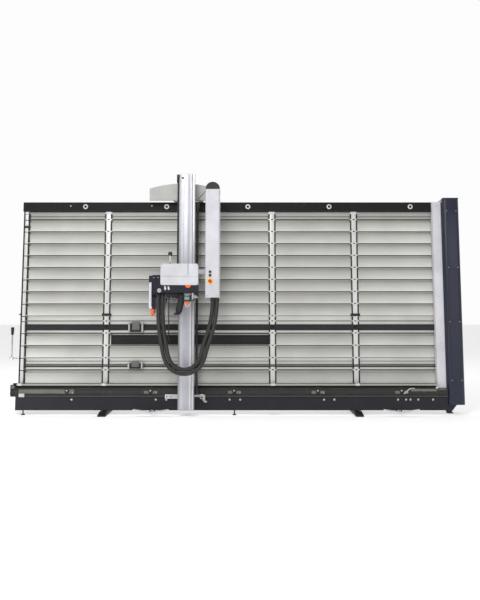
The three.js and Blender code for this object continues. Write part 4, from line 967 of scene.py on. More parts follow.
CORE_DEPTH = (0.0, 0.009)
WING_HALF = 0.046
WING_DEPTH = (0.006, 0.012)
CAP_HALF = 0.034
CAP_DEPTH = (-0.004, 0.01)
CAP_HEIGHT = 0.034
CAP_PROUD = 0.002
CAP_CORNER = 0.004
PAD_DEPTH = (-0.002, 0.009)
PAD_CORNER = 0.002
PAD_TOP_GAP = 0.03
SHORTEST_PAD = 0.03
TOOTH_DEPTH = (-0.0035, 0.0)
TOOTH_INSET = 0.003
TOOTH_START = 0.004
TICK_HALF = 0.013
TICK_DEPTH = (-0.0025, 0.003)
TICK_BELOW = 0.007
TICK_ABOVE = 0.006
CLIP_HALF = 0.060
CLIP_DEPTH = (-0.012, 0.006)
CLIP_EDGES = (1.252, 1.282)
CLIPPED_UPRIGHTS = (1, 4)


def pad_spans(low, high):
    """The stretches between two slat lines that a pad covers, from the top down."""
    lines = [line for line in SLAT_LINES if low < line < high] + [low - PAD_BREAK / 2]
    top = high - PAD_TOP_GAP
    for line in lines:
        yield line, line + PAD_BREAK / 2, top
        top = line - PAD_BREAK / 2


def toothed_pad(edges, bottom, top):
    """A rubber pad with a row of teeth on its front."""
    pad = block("pad", edges, PAD_DEPTH, (bottom, top), PAD_CORNER)
    width = (edges[0] + TOOTH_INSET, edges[1] - TOOTH_INSET)
    height = (bottom + TOOTH_START, bottom + TOOTH_START + PAD_TOOTH)
    tooth = block("tooth", width, TOOTH_DEPTH, height, *TOOTH_EDGE)
    count = int((top - bottom) / PAD_TOOTH / 2)
    return [pad, row_of(tooth, [(0, 0, index * 2 * PAD_TOOTH) for index in range(count)])]


def dress_uprights(finishes):
    """The uprights: a rounded core with a cap, toothed pads, ticks and clips."""
    low, high = UPRIGHT_SPAN
    core = block("upright_core", around(0, CORE_HALF), CORE_DEPTH, (low, high), *ROUND_EDGE)
    wing = block("wing", around(0, WING_HALF), WING_DEPTH, (low, high), THIN_EDGE)
    cap_edges = (high - CAP_HEIGHT, high + CAP_PROUD)
    cap = block("cap", around(0, CAP_HALF), CAP_DEPTH, cap_edges, CAP_CORNER, 3)
    core = joined("upright_core", [core, wing, cap])
    pads = []
    ticks = []
    for line, bottom, top in pad_spans(low, high):
        if top - bottom > SHORTEST_PAD:
            for edges in PAD_EDGES:
                pads.extend(toothed_pad(edges, bottom, top))
        if line > low:
            edges = (line - TICK_BELOW, line + TICK_ABOVE)
            ticks.append(block("tick", around(0, TICK_HALF), TICK_DEPTH, edges, EASED_EDGE))
    pads = joined("upright_pads", pads)
    ticks = joined("upright_ticks", ticks)
    clips = block("upright_clips", around(0, CLIP_HALF), CLIP_DEPTH, CLIP_EDGES, *ROUND_EDGE)
    for number, x in enumerate(UPRIGHTS, start=1):
        replaced = (f"support_strip_{number}",)
        for part, key, slot, replaces in (
            (core, "strip", "strip", replaced),
            (pads, "rubber", "black_plastic", ()),
            (ticks, "rubber", "black_plastic", ()),
            (clips, "rail", "black_plastic", ()),
        ):
            if part is clips and number not in CLIPPED_UPRIGHTS:
                continue
            twin = part.copy()
            twin.data = part.data.copy()
            twin.data.transform(Matrix.Translation((x, 0, 0)))
            twin.name = f"{part.name}_{number}"
            bpy.context.scene.collection.objects.link(twin)
            mount(twin, finishes[key], "frame", replaces)
    for part in (core, pads, ticks, clips):
        bpy.data.objects.remove(part)


CAP_THICKNESS = 0.011
CAP_RIM = 0.002
HUB_RADIUS = 0.0085
HUB_DEPTH = (-0.0125, -0.006)
MARK_POINTS = [(-0.012, 0.018), (0.012, 0.018), (0, -0.002)]
MARK_DEPTH = (-0.0012, -0.0001)
MARK_LEFT_OF_CAP = 0.195
LIP_DEPTH = (-0.003, 0.004)
LIP_EDGES = (-0.0005, 0.008)


def dress_top_rail(finishes):
    """Round caps, two arrow marks and a lower lip on the top rail."""
    middle = sum(TOP_RAIL) / 2
    front = TOP_RAIL_FRONT
    centre = (CAPS[0], middle)
    places = [(x, 0, 0) for x in CAPS]
    span = (front - CAP_THICKNESS, front - TOUCH_GAP)
    cap = rod("top_rail_caps", "y", CAP_RADIUS + CAP_RIM, span, centre, sides=40, bevel=WIDE_EDGE)
    cap = sunk(cap, 1, front - CAP_THICKNESS, *CAP_RECESS)
    hub = rod("top_rail_hubs", "y", HUB_RADIUS, moved(HUB_DEPTH, front), centre, sides=6)
    mount(row_of(cap, places), finishes["white"], "frame")
    mount(row_of(hub, places), finishes["rubber"], "frame")
    points = [(CAPS[0] - MARK_LEFT_OF_CAP + x, middle + h) for x, h in MARK_POINTS]
    mark = outline_piece("top_rail_marks", points, 1, moved(MARK_DEPTH, front), 0)
    mark = row_of(mark, [(0, 0, 0), (CAP_PITCH, 0, 0)])
    mount(mark, finishes["grey_plate"], "frame")
    height = moved(LIP_EDGES, TOP_RAIL[0])
    lip = block("top_rail_lip", (0.0, SLAT_LENGTH), moved(LIP_DEPTH, front), height)
    mount(lip, finishes["rail"], "frame")


TOP_PLATES = [(2.522, 2.556), (2.559, 2.621)]
RAIL_PLATES = [
    (1.144, 1.184),
    (1.190, 1.253),
    (1.036, 1.067),
    (0.634, 0.668),
    (0.674, 0.713),
    (0.565, 0.596),
]
PLATE_DEPTH = (SLAT_FACE - 0.0014, SLAT_FACE - 0.0001)
# The middle and the half height of each dark line along the rails.
RAIL_LINES = [
    (2.5575, 0.0035),
    (2.5205, 0.0035),
    (1.2555, 0.005),
    (1.187, 0.005),
    (1.0335, 0.0035),
    (0.7155, 0.004),
    (0.671, 0.0035),
    (0.5625, 0.0035),
]
LINE_DEPTH = (PLATE_DEPTH[0] - 0.0016, PLATE_DEPTH[0] + 0.001)
TRACK_ALONG = (0.086, SLAT_LENGTH)
TRACK_DEPTH = (-0.0035, 0.001)
TRACK_INSET = 0.004
TRACK_HALF = 0.0035
SCALE_DEPTH = (-0.0012, 0.0005)
SCALE_EDGES = (-0.013, -0.0085)


def dress_rails(finishes):
    """Slat plates over the plain parts of the rails, with a track along each band."""
    # The top plates take the darker recess grey: painted shade under the top rail.
    rows = [(ALONG_SLATS, PLATE_DEPTH, edges) for edges in TOP_PLATES]
    mount(blocks("top_slat_shade_plates", rows, HAIR_EDGE), finishes["insert_grey_and_shade"], "frame")
    rows = [(ALONG_SLATS, PLATE_DEPTH, edges) for edges in RAIL_PLATES]
    mount(blocks("rail_slat_plates", rows, HAIR_EDGE), finishes["slat"], "frame")
    rows = [(ALONG_SLATS, LINE_DEPTH, around(middle, half)) for middle, half in RAIL_LINES]
    mount(blocks("rail_gaskets", rows, FINE_EDGE), finishes["gasket"], "frame")
    edges = [edge for low, high in BANDS for edge in (low + TRACK_INSET, high - TRACK_INSET)]
    rows = [(TRACK_ALONG, TRACK_DEPTH, around(edge, TRACK_HALF)) for edge in edges]
    mount(blocks("stop_tracks", rows, THIN_EDGE), finishes["rubber"], "frame")
    height = moved(SCALE_EDGES, BANDS[1][1])
    scale = block("stop_scale", TRACK_ALONG, SCALE_DEPTH, height, LINE_EDGE)
    mount(scale, finishes["strip"], "frame")


LEFT_END_FOOT = 0.070
LEFT_SIDE = ((-0.0010, 0.0165), (-0.0015, 0.112))
LEFT_BACK = ((0.002, 0.060), (0.0326, 0.1126))
LEFT_POINTER = [(0.001, 1.257), (-0.030, 1.271), (0.001, 1.285)]
LEFT_POINTER_DEPTH = (0.006, 0.012)
LEFT_CORE = ((0.0170, 0.058), (0.0, 0.011))
LEFT_CAP = ((0.017, 0.060), (-0.004, 0.01))
LEFT_PAD = ((0.062, 0.084), (-0.002, 0.011))
LEFT_TICK = ((0.016, 0.060), (-0.0025, 0.003))
LEFT_TICK_EDGES = (-0.006, 0.004)
LEFT_CLIP = ((0.006, 0.090), (-0.010, 0.006), (2.406, 2.434))


def dress_left_end(finishes):
    """The left end post: a black frame, a pale core, pads with ticks and a clip."""
    low, high = UPRIGHT_SPAN
    side = block("left_end_side", *LEFT_SIDE, (LEFT_END_FOOT, high + CAP_PROUD), EASED_EDGE)
    back = block("left_end_back", *LEFT_BACK, (LEFT_END_FOOT, high), EASED_EDGE)
    pointer = outline_piece("left_end_pointer", LEFT_POINTER, 1, LEFT_POINTER_DEPTH, THIN_EDGE)
    frame = joined("left_end_frame", [side, back, pointer])
    mount(frame, finishes["post"], "frame", ("left_end_post",))
    core = block("left_end_core", *LEFT_CORE, (low, high), *ROUND_EDGE)
    cap = block("cap", *LEFT_CAP, (high - CAP_HEIGHT, high + CAP_PROUD), CAP_CORNER, 3)
    mount(joined("left_end_core", [core, cap]), finishes["strip"], "frame")
    pads = []
    ticks = []
    for _, bottom, top in pad_spans(low, high):
        if top - bottom > SHORTEST_PAD:
            pads.append(block("pad", *LEFT_PAD, (bottom, top), PAD_CORNER))
            ticks.append(block("tick", *LEFT_TICK, moved(LEFT_TICK_EDGES, top), EASED_EDGE))
    clip = block("clip", *LEFT_CLIP, *ROUND_EDGE)
    pads = joined("left_end_pads", pads + ticks + [clip])
    mount(pads, finishes["rubber"], "frame")


LEDGE_END = -0.068
LEDGE_RIGHT = 5.4590
LEDGE_ALONG = (LEDGE_END + 0.004, LEDGE_RIGHT)
LEDGE_LIP = (LEDGE_ALONG, (-0.0830, -0.0785), (0.318, 0.3315))
LEDGE_RIB = (LEDGE_ALONG, (-0.0826, -0.0795), (0.258, 0.312))
LEDGE_FOOT = (LEDGE_ALONG, (-0.0850, -0.0795), (0.2385, 0.252))
SKIRT_TOP_EDGE = ((0.0, LEDGE_RIGHT), (-0.0865, -0.0765), (0.2235, 0.2345))
LEDGE_TRIM = ((0.004, SLAT_LENGTH - 0.002), (-0.0816, -0.0798), (0.3620, 0.3850))
TRIM_END_PLACES = UPRIGHTS + [0.044]
TRIM_END_FRONT = ((-0.0836, -0.0812), (0.3600, 0.3900))
# Paler strips on the ledge's front: the left one is a painted sheen at the ledge's left end, the right one
# lies near its right end.
LEDGE_PALE_STRIPS = [
    ((0.035, 0.735), (-0.0838, -0.0822), (0.262, 0.314)),
    ((4.990, 5.318), (-0.0838, -0.0822), (0.290, 0.320)),
]
PLATE_FACE = -0.0850
HUB_FACE = -0.0866
STATION_BACK = -0.0826
FIRST_ROLLER = 0.646
ROLLER_PITCH = 1.057
ROLLERS = [FIRST_ROLLER + ROLLER_PITCH * index for index in range(5)]
STATION_PLATE = (0.024, 0.082)
STATION_PLATE_HEIGHT = (0.260, 0.297)
STATION_HUB_RADIUS = 0.030
STATION_HUB_HEIGHT = 0.291
STATION_BAR_HALF = 0.078
STATION_BAR = ((-0.0860, STATION_BACK), (0.3140, 0.3360))
HUB_SCREW = (-0.004, 0.298)
PLATE_SCREW = (0.070, 0.270)
CATCH_POINTS = [
    (4.891, 0.2600),
    (4.910, 0.2555),
    (4.985, 0.318),
    (5.040, 0.320),
    (5.038, 0.332),
    (4.972, 0.330),
]
CATCH_DEPTH = (-0.0872, -0.0840)
LEDGE_LEFT_BLOCK = ((-0.078, LEDGE_END - 0.0003), (-0.072, 0.02), (0.236, 0.372))
LEDGE_KNOB = (0.024, (-0.108, -0.0805), (-0.035, 0.345))
WHITE_BLOCK = ((0.042, 0.112), (-0.098, -0.0855), (0.217, 0.262))
WHITE_CAP = (0.014, (-0.094, -0.0800), (5.318, 0.3360))
PAST_SLATS = (SLAT_LENGTH + 0.0005, LEDGE_RIGHT)
LEDGE_RIGHT_END = (PAST_SLATS, (-0.0795, -0.0340), (0.2225, 0.300))
SKIRT_RIGHT_END = (PAST_SLATS, (-0.0700, -0.0340), (0.052, 0.2215))


def dress_ledge(finishes):
    """The ledge's front: its rib and edges, pale strips with a painted sheen, a light trim and both ends.
    """
    lip = block("ledge_lip", *LEDGE_LIP, EASED_EDGE)
    rib = block("ledge_rib", *LEDGE_RIB)
    foot = block("ledge_foot", *LEDGE_FOOT, EASED_EDGE)
    mount(joined("ledge_shadow_edges", [lip, foot]), finishes["gasket"], "frame")
    mount(rib, finishes["ledge_face"], "frame")
    mount(block("skirt_top_edge", *SKIRT_TOP_EDGE), finishes["cast_dark"], "frame")
    mount(block("ledge_trim", *LEDGE_TRIM, HAIR_EDGE), finishes["insert_grey_and_shade"], "frame")
    rows = [(around(x, CORE_HALF), *TRIM_END_FRONT) for x in TRIM_END_PLACES]
    mount(blocks("ledge_trim_ends", rows, THIN_EDGE), finishes["strip"], "frame")
    # The pale strips: the left one is painted sheen.
    pale_strips = blocks("ledge_pale_strips", LEDGE_PALE_STRIPS, FINE_EDGE)
    mount(pale_strips, finishes["ledge_bright"], "frame")
    dress_roller_stations(finishes)
    catch = outline_piece("ledge_catch", CATCH_POINTS, 1, CATCH_DEPTH, THIN_EDGE)
    mount(catch, finishes["grey_plate"], "frame")
    end = block("ledge_left_end", *LEDGE_LEFT_BLOCK, *SOFT_EDGE)
    knob = rod("ledge_left_knob", "y", *LEDGE_KNOB, bevel=WIDE_EDGE)
    mount(joined("ledge_left_end", [end, knob]), finishes["cast"], "frame")
    stop = block("ledge_left_block", *WHITE_BLOCK, *ROUND_EDGE)
    cap = rod("ledge_right_cap", "y", *WHITE_CAP, bevel=WIDE_EDGE)
    mount(joined("ledge_end_blocks", [stop, cap]), finishes["white"], "frame")
    close = block("ledge_right_end", *LEDGE_RIGHT_END, EASED_EDGE)
    mount(close, finishes["ledge"], "frame")
    skirt = block("skirt_right_end", *SKIRT_RIGHT_END, EASED_EDGE)
    mount(skirt, finishes["skirt"], "frame")


def dress_roller_stations(finishes):
    """Around each roller: two worn plates, a dark hub and bar, and two screws."""
    plates = []
    heads = []
    hubs = []
    for x in ROLLERS:
        for edges in both_sides(x, STATION_PLATE):
            depth = (PLATE_FACE, STATION_BACK)
            plates.append(block("plate", edges, depth, STATION_PLATE_HEIGHT, *SOFT_EDGE))
        span = (HUB_FACE, STATION_BACK)
        centre = (x, STATION_HUB_HEIGHT)
        hubs.append(rod("hub", "y", STATION_HUB_RADIUS, span, centre, sides=32, bevel=PLAIN_EDGE))
        hubs.append(block("hub", around(x, STATION_BAR_HALF), *STATION_BAR, *ROUND_EDGE))
        heads.append(screw_head("screw", x + HUB_SCREW[0], HUB_FACE, HUB_SCREW[1], *HUB_SCREW_SIZE))
        heads.append(screw_head("screw", x + PLATE_SCREW[0], PLATE_FACE, PLATE_SCREW[1], *SMALL_SCREW))
    mount(joined("roller_brackets", plates), finishes["ledge_bright"], "frame")
    mount(joined("roller_hubs", hubs), finishes["rubber"], "frame")
    mount(joined("roller_bracket_screws", heads), finishes["steel"], "frame")


STOPS_AT = 1.494
STOPS = [(1, 1.041, 1.169), (2, 0.570, 0.660)]
CHEEK = (0.074, 0.095)
CHEEK_DEPTH = (-0.046, -0.0008)
INNER_CHEEK = (0.062, 0.074)
INNER_CHEEK_DEPTH = (-0.020, -0.0008)
SHOE_HALF = 0.0735
SHOE_DEPTH = (-0.030, -0.0010)
STOP_BLOCK = (-0.047, 0.050)
STOP_BLOCK_DEPTH = (-0.044, -0.022)
STOP_LIP_DEPTH = (-0.0445, -0.036)
STOP_SCREW_OFF = 0.0845
STOP_SCREW_INSET = 0.018
# How far a stop's parts stay above its lower edge and below its upper edge.
INNER_CHEEK_INSETS = (0.004, 0.030)
SHOE_INSETS = (0.002, 0.018)
STOP_BLOCK_INSETS = (0.026, 0.004)
STOP_LIP_EDGES = (-0.022, 0.004)


def inset(low, high, above, below):
    return (low + above, high - below)


def dress_stops(finishes):
    """Each stop is a grey block in a dark shoe between two light cheeks."""
    x = STOPS_AT
    for number, low, high in STOPS:
        body, node = f"stop_{number}", f"length_stop_{number}"
        cheeks = []
        for outer, inner in zip(both_sides(x, CHEEK), both_sides(x, INNER_CHEEK)):
            cheeks.append(block("cheek", outer, CHEEK_DEPTH, (low, high), *SOFT_EDGE))
            height = inset(low, high, *INNER_CHEEK_INSETS)
            cheeks.append(block("cheek", inner, INNER_CHEEK_DEPTH, height, *ROUND_EDGE))
        cheeks = joined(f"stop_cheeks_{number}", cheeks)
        mount(cheeks, finishes["grey_plate"], body, (node,))
        height = inset(low, high, *SHOE_INSETS)
        shoe = block(f"stop_shoe_{number}", around(x, SHOE_HALF), SHOE_DEPTH, height, *ROUND_EDGE)
        mount(shoe, finishes["rubber"], body)
        width = moved(STOP_BLOCK, x)
        height = inset(low, high, *STOP_BLOCK_INSETS)
        grip = block("grip", width, STOP_BLOCK_DEPTH, height, *SOFTER_EDGE)
        lip = block("lip", width, STOP_LIP_DEPTH, moved(STOP_LIP_EDGES, high), *ROUND_EDGE)
        mount(joined(f"stop_block_{number}", [grip, lip]), finishes["cast"], body)
        screws = [
            screw_head("screw", place, CHEEK_DEPTH[0], h, *PLATE_SCREW_SIZE)
            for place in around(x, STOP_SCREW_OFF)
            for h in (low + STOP_SCREW_INSET, high - STOP_SCREW_INSET)
        ]
        mount(joined(f"stop_screws_{number}", screws), finishes["steel"], body)


LEVER_AT = (-0.097, 0.706)
LEVER_STEM = (0.018, 0.320)
LEVER_GRIP = (0.300, 0.392)
LEVER_GRIP_TOP = (0.3915, 0.398)
LEVER_STEM_RADIUS = 0.0085
LEVER_GRIP_RADIUS = 0.0150
LEVER_TIP_RADIUS = 0.0215
LEVER_HUB_RADIUS = 0.0225
LEVER_ARM_RADIUS = 0.0075
LEVER_HUB_HALF = 0.014
LEVER_ARM = (LEVER_AT[0] + 0.020, -0.0012)


def dress_lever(finishes):
    """The support lever: a hub and its arm, a stem, and a flared grip."""
    x, h = LEVER_AT

    def upward(name, radius, span, **shape):
        return rod(name, "h", radius, moved(span, h), (x, 0), **shape)

    stem = upward("lever_stem", LEVER_STEM_RADIUS, LEVER_STEM)
    span = around(0, LEVER_HUB_HALF)
    hub = rod("lever_hub", "y", LEVER_HUB_RADIUS, span, (x, h), sides=40, bevel=FIRM_EDGE)
    hub = sunk(hub, 1, -LEVER_HUB_HALF, *LEVER_RECESS)
    arm = rod("lever_arm", "x", LEVER_ARM_RADIUS, LEVER_ARM, (0, h))
    stem = joined("lever_stem", [stem, hub, arm])
    mount(stem, finishes["steel"], "end_lever", ("support_lever",))
    rims = dict(sides=32, bevel=FIRM_EDGE)
    lower = upward("lever_grip", LEVER_GRIP_RADIUS, LEVER_GRIP, tip=LEVER_TIP_RADIUS, **rims)
    top = upward("lever_grip_top", LEVER_TIP_RADIUS, LEVER_GRIP_TOP, **rims)
    grip = joined("lever_grip", [lower, top])
    mount(grip, finishes["rubber"], "end_lever")


SKIRT_BOLTS = [0.705, 1.769, 1.901, 2.699, 2.833, 3.892, 4.022, 4.825, 4.927, 4.983, 5.081, 5.268]
SKIRT_BOLT_HEIGHT = 0.186
SKIRT_WASHER_RADIUS = 0.013
SKIRT_WASHER_DEPTH = (-0.0745, -0.0712)
SKIRT_SEAMS = (1.08, 2.62, 4.29)
SEAM_HALF = 0.0012
SKIRT_SEAM = ((-0.0712, -0.0698), (0.060, 0.208))


def dress_skirt(finishes):
    """Bolts with washers along the skirt, and the seams between its panels."""
    bolts = []
    for x in SKIRT_BOLTS:
        centre = (x, SKIRT_BOLT_HEIGHT)
        washer = rod("washer", "y", SKIRT_WASHER_RADIUS, SKIRT_WASHER_DEPTH, centre, bevel=SCREW_EDGE)
        bolts.append(washer)
        bolts.append(screw_head("bolt", x, SKIRT_WASHER_DEPTH[0], SKIRT_BOLT_HEIGHT, *SKIRT_BOLT))
    mount(joined("skirt_bolts", bolts), finishes["steel"], "frame")
    rows = [(around(x, SEAM_HALF), *SKIRT_SEAM) for x in SKIRT_SEAMS]
    mount(blocks("skirt_seams", rows, 0), finishes["gasket"], "frame")


COLUMN = (SLAT_LENGTH + 0.1275, SLAT_LENGTH + 0.347)
COLUMN_DEPTH = (-0.096, 0.150)
COLUMN_HEIGHT = (0.120, 2.780)
COLUMN_CORNER = 0.060
CORNER_STEPS = 10
FOOT_CENTRE = (COLUMN[0] + 0.058, 0.066)
FOOT_RADIUS = 0.050
FOOT_ARC = (180, 300)
FOOT_STEPS = 16
FOOT_CORNERS = [(0.166, 0.124), (0.166, 0.20), (0.008, 0.20)]
FOOT_DEPTH = (0.070, 0.120)
SOLE_POINTS = [(0.060, 0.0064), (0.130, 0.0138), (0.130, 0.0240), (0.060, 0.0200)]
SOLE_ALONG = (COLUMN[0] + 0.026, COLUMN[0] + 0.100)
PANEL_DEPTH = (-0.0985, -0.0955)
PLATE_EDGES = (COLUMN[0] + 0.045, COLUMN[1] - 0.045)
PLATE_HEIGHT = (1.86, 2.62)
HATCH_EDGES = (COLUMN[0] + 0.040, COLUMN[1] - 0.040)
HATCH_HEIGHT = (0.42, 1.18)
COLUMN_SCREWS = (COLUMN[0] + 0.048, COLUMN[1] - 0.048)
COLUMN_SCREW_HEIGHTS = (0.43, 1.17, 1.87, 2.61)
COLUMN_CAP = ((COLUMN[0] + 0.006, COLUMN[1] - 0.006), (-0.090, 0.144), (2.7795, 2.7870))
END_TRIM = ((SLAT_LENGTH + 0.002, SLAT_LENGTH + 0.010), (-0.0325, -0.0285), (0.232, 2.735))
END_SCREW_X = SLAT_LENGTH + 0.0635
END_SCREW_FACE = -0.0302
END_SCREW_HEIGHTS = (0.28, 0.9, 1.5, 2.1, 2.69)


def column_tower():
    """The column with its corners rounded, on a foot that is rounded to the left."""
    left, right = COLUMN
    front, back = COLUMN_DEPTH
    corners = []
    for x, y, start in ((right, back, 0), (left, back, 90), (left, front, 180), (right, front, 270)):
        inward = COLUMN_CORNER if x == left else -COLUMN_CORNER
        middle = (x + inward, y + math.copysign(COLUMN_CORNER, -y))
        corners.extend(arc_points(middle, COLUMN_CORNER, start, start + 90, CORNER_STEPS))
    tower = outline_piece("column_tower", corners, 2, COLUMN_HEIGHT, FIRM_EDGE)
    foot_line = arc_points(FOOT_CENTRE, FOOT_RADIUS, *FOOT_ARC, FOOT_STEPS)
    foot_line.extend((left + x, h) for x, h in FOOT_CORNERS)
    foot = outline_piece("column_foot", foot_line, 1, FOOT_DEPTH, *BROAD_EDGE)
    sole = outline_piece("column_sole", SOLE_POINTS, 0, SOLE_ALONG)
    return joined("column_tower", [tower, foot, sole])


def dress_right_end(finishes):
    """The end strip's trim and screws, and the column with its plates, screws and cap."""
    trim = block("end_strip_trim", *END_TRIM, THIN_EDGE)
    mount(trim, finishes["grey_plate"], "frame")
    face = END_SCREW_FACE
    holes = [screw_head("screw", END_SCREW_X, face, h, *PLATE_SCREW_SIZE) for h in END_SCREW_HEIGHTS]
    mount(joined("end_strip_screws", holes), finishes["steel"], "frame")
    mount(column_tower(), finishes["column"], "frame", ("end_column",))
    plate = block("column_nameless_plate", PLATE_EDGES, PANEL_DEPTH, PLATE_HEIGHT, *BROAD_EDGE)
    mount(plate, finishes["column_plate"], "frame")
    cover = block("column_hatch", HATCH_EDGES, PANEL_DEPTH, HATCH_HEIGHT, *BROAD_EDGE)
    cover = sunk(cover, 1, PANEL_DEPTH[0], *HATCH_RECESS)
    mount(cover, finishes["column"], "frame")
    screws = [
        screw_head("screw", x, PANEL_DEPTH[0], h, *COLUMN_SCREW)
        for x in COLUMN_SCREWS
        for h in COLUMN_SCREW_HEIGHTS
    ]
    mount(joined("column_screws", screws), finishes["steel"], "frame")
    cap = block("column_cap", *COLUMN_CAP, *ROUND_EDGE)
    mount(cap, finishes["black_plastic"], "frame")


# The beam's pieces are given from its middle along the machine.
BEAM_FRONT = -0.220
BEAM_SPAN = (0.066, 3.065)
BEAM_FACE = BEAM_FRONT - 0.0006
BEAM_SKIN = BEAM_FRONT + 0.001
BEAM_INNER = (BEAM_SPAN[0] + 0.004, BEAM_SPAN[1] - 0.004)
# The beam's two edges are painted darker: painted shade along its sides.
LEFT_EDGE = ((-0.1012, -0.0880), (BEAM_FRONT - 0.001, BEAM_FRONT + 0.030))
RIGHT_EDGE = ((0.0925, 0.1008), (BEAM_FRONT - 0.001, BEAM_FRONT + 0.020))
GROOVE_DEPTH = (BEAM_FACE - 0.0006, BEAM_SKIN)
GROOVE_LINES = [(0.066, 0.0045), (0.040, 0.0012), (-0.044, 0.0010), (-0.078, 0.0012)]
WIDE_BAND = ((-0.036, 0.030), (BEAM_FACE - 0.0018, BEAM_SKIN))
NARROW_BAND = ((-0.0865, -0.080), (BEAM_FACE - 0.0030, BEAM_SKIN))
CREST = ((0.0435, 0.0600), (BEAM_FACE - 0.0035, BEAM_SKIN))
RACK = ((0.0745, 0.0845), (BEAM_FACE - 0.0022, BEAM_SKIN), (0.40, 2.98))
BEAM_CAP = (around(0, 0.096), (-0.216, -0.094), (BEAM_SPAN[1] - 0.0005, BEAM_SPAN[1] + 0.0042))
HOLE_FACE = BEAM_FRONT - 0.0030
TOP_HOLE = (0.014, (HOLE_FACE, BEAM_FRONT + 0.002), (BEAM_AT - 0.060, 3.013))
GUARD_SIDE = ((-0.1385, -0.1345), (-0.196, -0.112), (2.962, 3.052))
GUARD_LID = ((-0.1385, -0.1015), (-0.2045, -0.2005), (2.960, 3.060))
GUARD_ROOF = ((-0.1385, -0.1005), (-0.2045, -0.108), (3.0585, 3.0625))
LIFT_BELT = ((-0.1290, -0.1050), (-0.2035, -0.1995), (1.853, 2.995))
CONDUIT_AT = (0.127, -0.155)
# Each sleeve of the conduit: its radius, its ends and the rounding of its rims.
SLEEVES = [
    (0.0235, (2.600, 2.704), 0.006),
    (0.0205, (2.560, 2.604), 0.003),
    (0.0190, (0.256, 0.300), 0.003),
]
CLIP_RADIUS = 0.0178
CONDUIT_CLIPS = (0.75, 1.25, 1.75, 2.25)
CONDUIT_CLIP_HEIGHT = 0.022
SHOE_FITTING = ((0.168, 0.236), (-0.116, -0.0905), (0.224, 0.250))
SHOE_RING = (0.033, 0.020, (-0.122, -0.0915))
SHOE_RING_AT = (BEAM_AT + 0.196, 0.226)
SHOE_PLATE = ((-0.272, -0.101), (-0.0990, -0.0905), (0.198, 0.252))
SHOE_FOOT = (0.021, (0.152, 0.174), (BEAM_AT + 0.240, -0.114))
SHOE_ARM = ((0.205, 0.236), (-0.118, -0.110), (0.168, 0.240))
SHOE_SCREWS = (-0.248, -0.195)
SHOE_SCREW_HEIGHT = 0.2240


def on_beam(*edges):
    """Edges given from the beam's middle, as places along the machine."""
    return moved(edges, BEAM_AT)


def beam_block(name, x, y, h, bevel=PLAIN_EDGE, segments=2):
    return block(name, on_beam(*x), y, h, bevel, segments)


def beam_blocks(name, rows, bevel):
    return blocks(name, [(on_beam(*x), y, h) for x, y, h in rows], bevel)


def dress_beam(finishes):
    """The beam's front profile with its edges painted in shade, the cap, guard and sleeves that it carries,
    and the belt beside it.
    """
    edges = beam_blocks("beam_shaded_edges", [(*LEFT_EDGE, BEAM_INNER), (*RIGHT_EDGE, BEAM_INNER)], EASED_EDGE)
    mount(edges, finishes["dark_ties_and_beam_shade"], "beam_carriage")
    rows = [(around(x, half), GROOVE_DEPTH, BEAM_INNER) for x, half in GROOVE_LINES]
    mount(beam_blocks("beam_groove_lines", rows, 0), finishes["groove"], "beam_carriage")
    bands = beam_blocks("beam_bands", [(*WIDE_BAND, BEAM_INNER), (*NARROW_BAND, BEAM_INNER)], THIN_EDGE)
    mount(bands, finishes["beam_band"], "beam_carriage")
    crest = beam_block("beam_crest", *CREST, BEAM_INNER)
    mount(crest, finishes["pale"], "beam_carriage")
    rack = beam_block("beam_rack", *RACK, THIN_EDGE)
    mount(rack, finishes["steel"], "beam_carriage")
    cap = beam_block("beam_top_cap", *BEAM_CAP, EASED_EDGE)
    mount(cap, finishes["grey_plate"], "beam_carriage")
    hole = rod("beam_top_hole", "y", *TOP_HOLE)
    hole = sunk(hole, 1, HOLE_FACE, *HOLE_RECESS)
    mount(hole, finishes["rubber"], "beam_carriage")
    guard = beam_block("pulley_guard", *GUARD_SIDE, EASED_EDGE)
    lid = beam_block("lid", *GUARD_LID, EASED_EDGE)
    roof = beam_block("roof", *GUARD_ROOF, THIN_EDGE)
    guard = joined("pulley_guard", [guard, lid, roof])
    mount(guard, finishes["rail"], "beam_carriage")
    dress_belt(finishes)
    x, y = CONDUIT_AT
    centre = (BEAM_AT + x, y)
    sleeves = [rod("sleeve", "h", radius, ends, centre, bevel=rim) for radius, ends, rim in SLEEVES]
    for h in CONDUIT_CLIPS:
        ends = (h, h + CONDUIT_CLIP_HEIGHT)
        sleeves.append(rod("sleeve", "h", CLIP_RADIUS, ends, centre, bevel=EASED_EDGE))
    sleeves = joined("conduit_sleeves", sleeves)
    mount(sleeves, finishes["black_plastic"], "beam_carriage")
    dress_shoe(finishes)


def dress_belt(finishes):
    """The belt's front run beside the beam: a block with its faces cut finer, leaned with the machine and
    hung on no body.
    """
    belt = beam_block("lift_belt", *LIFT_BELT, EDGE_GAP)
    select_only(belt)
    bpy.ops.object.mode_set(mode="EDIT")
    bpy.ops.mesh.select_all(action="SELECT")
    bpy.ops.mesh.subdivide(number_cuts=2)
    bpy.ops.object.mode_set(mode="OBJECT")
    belt.data.transform(LEANED)
    belt.data.materials.append(finishes["rubber"])
    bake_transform(belt)


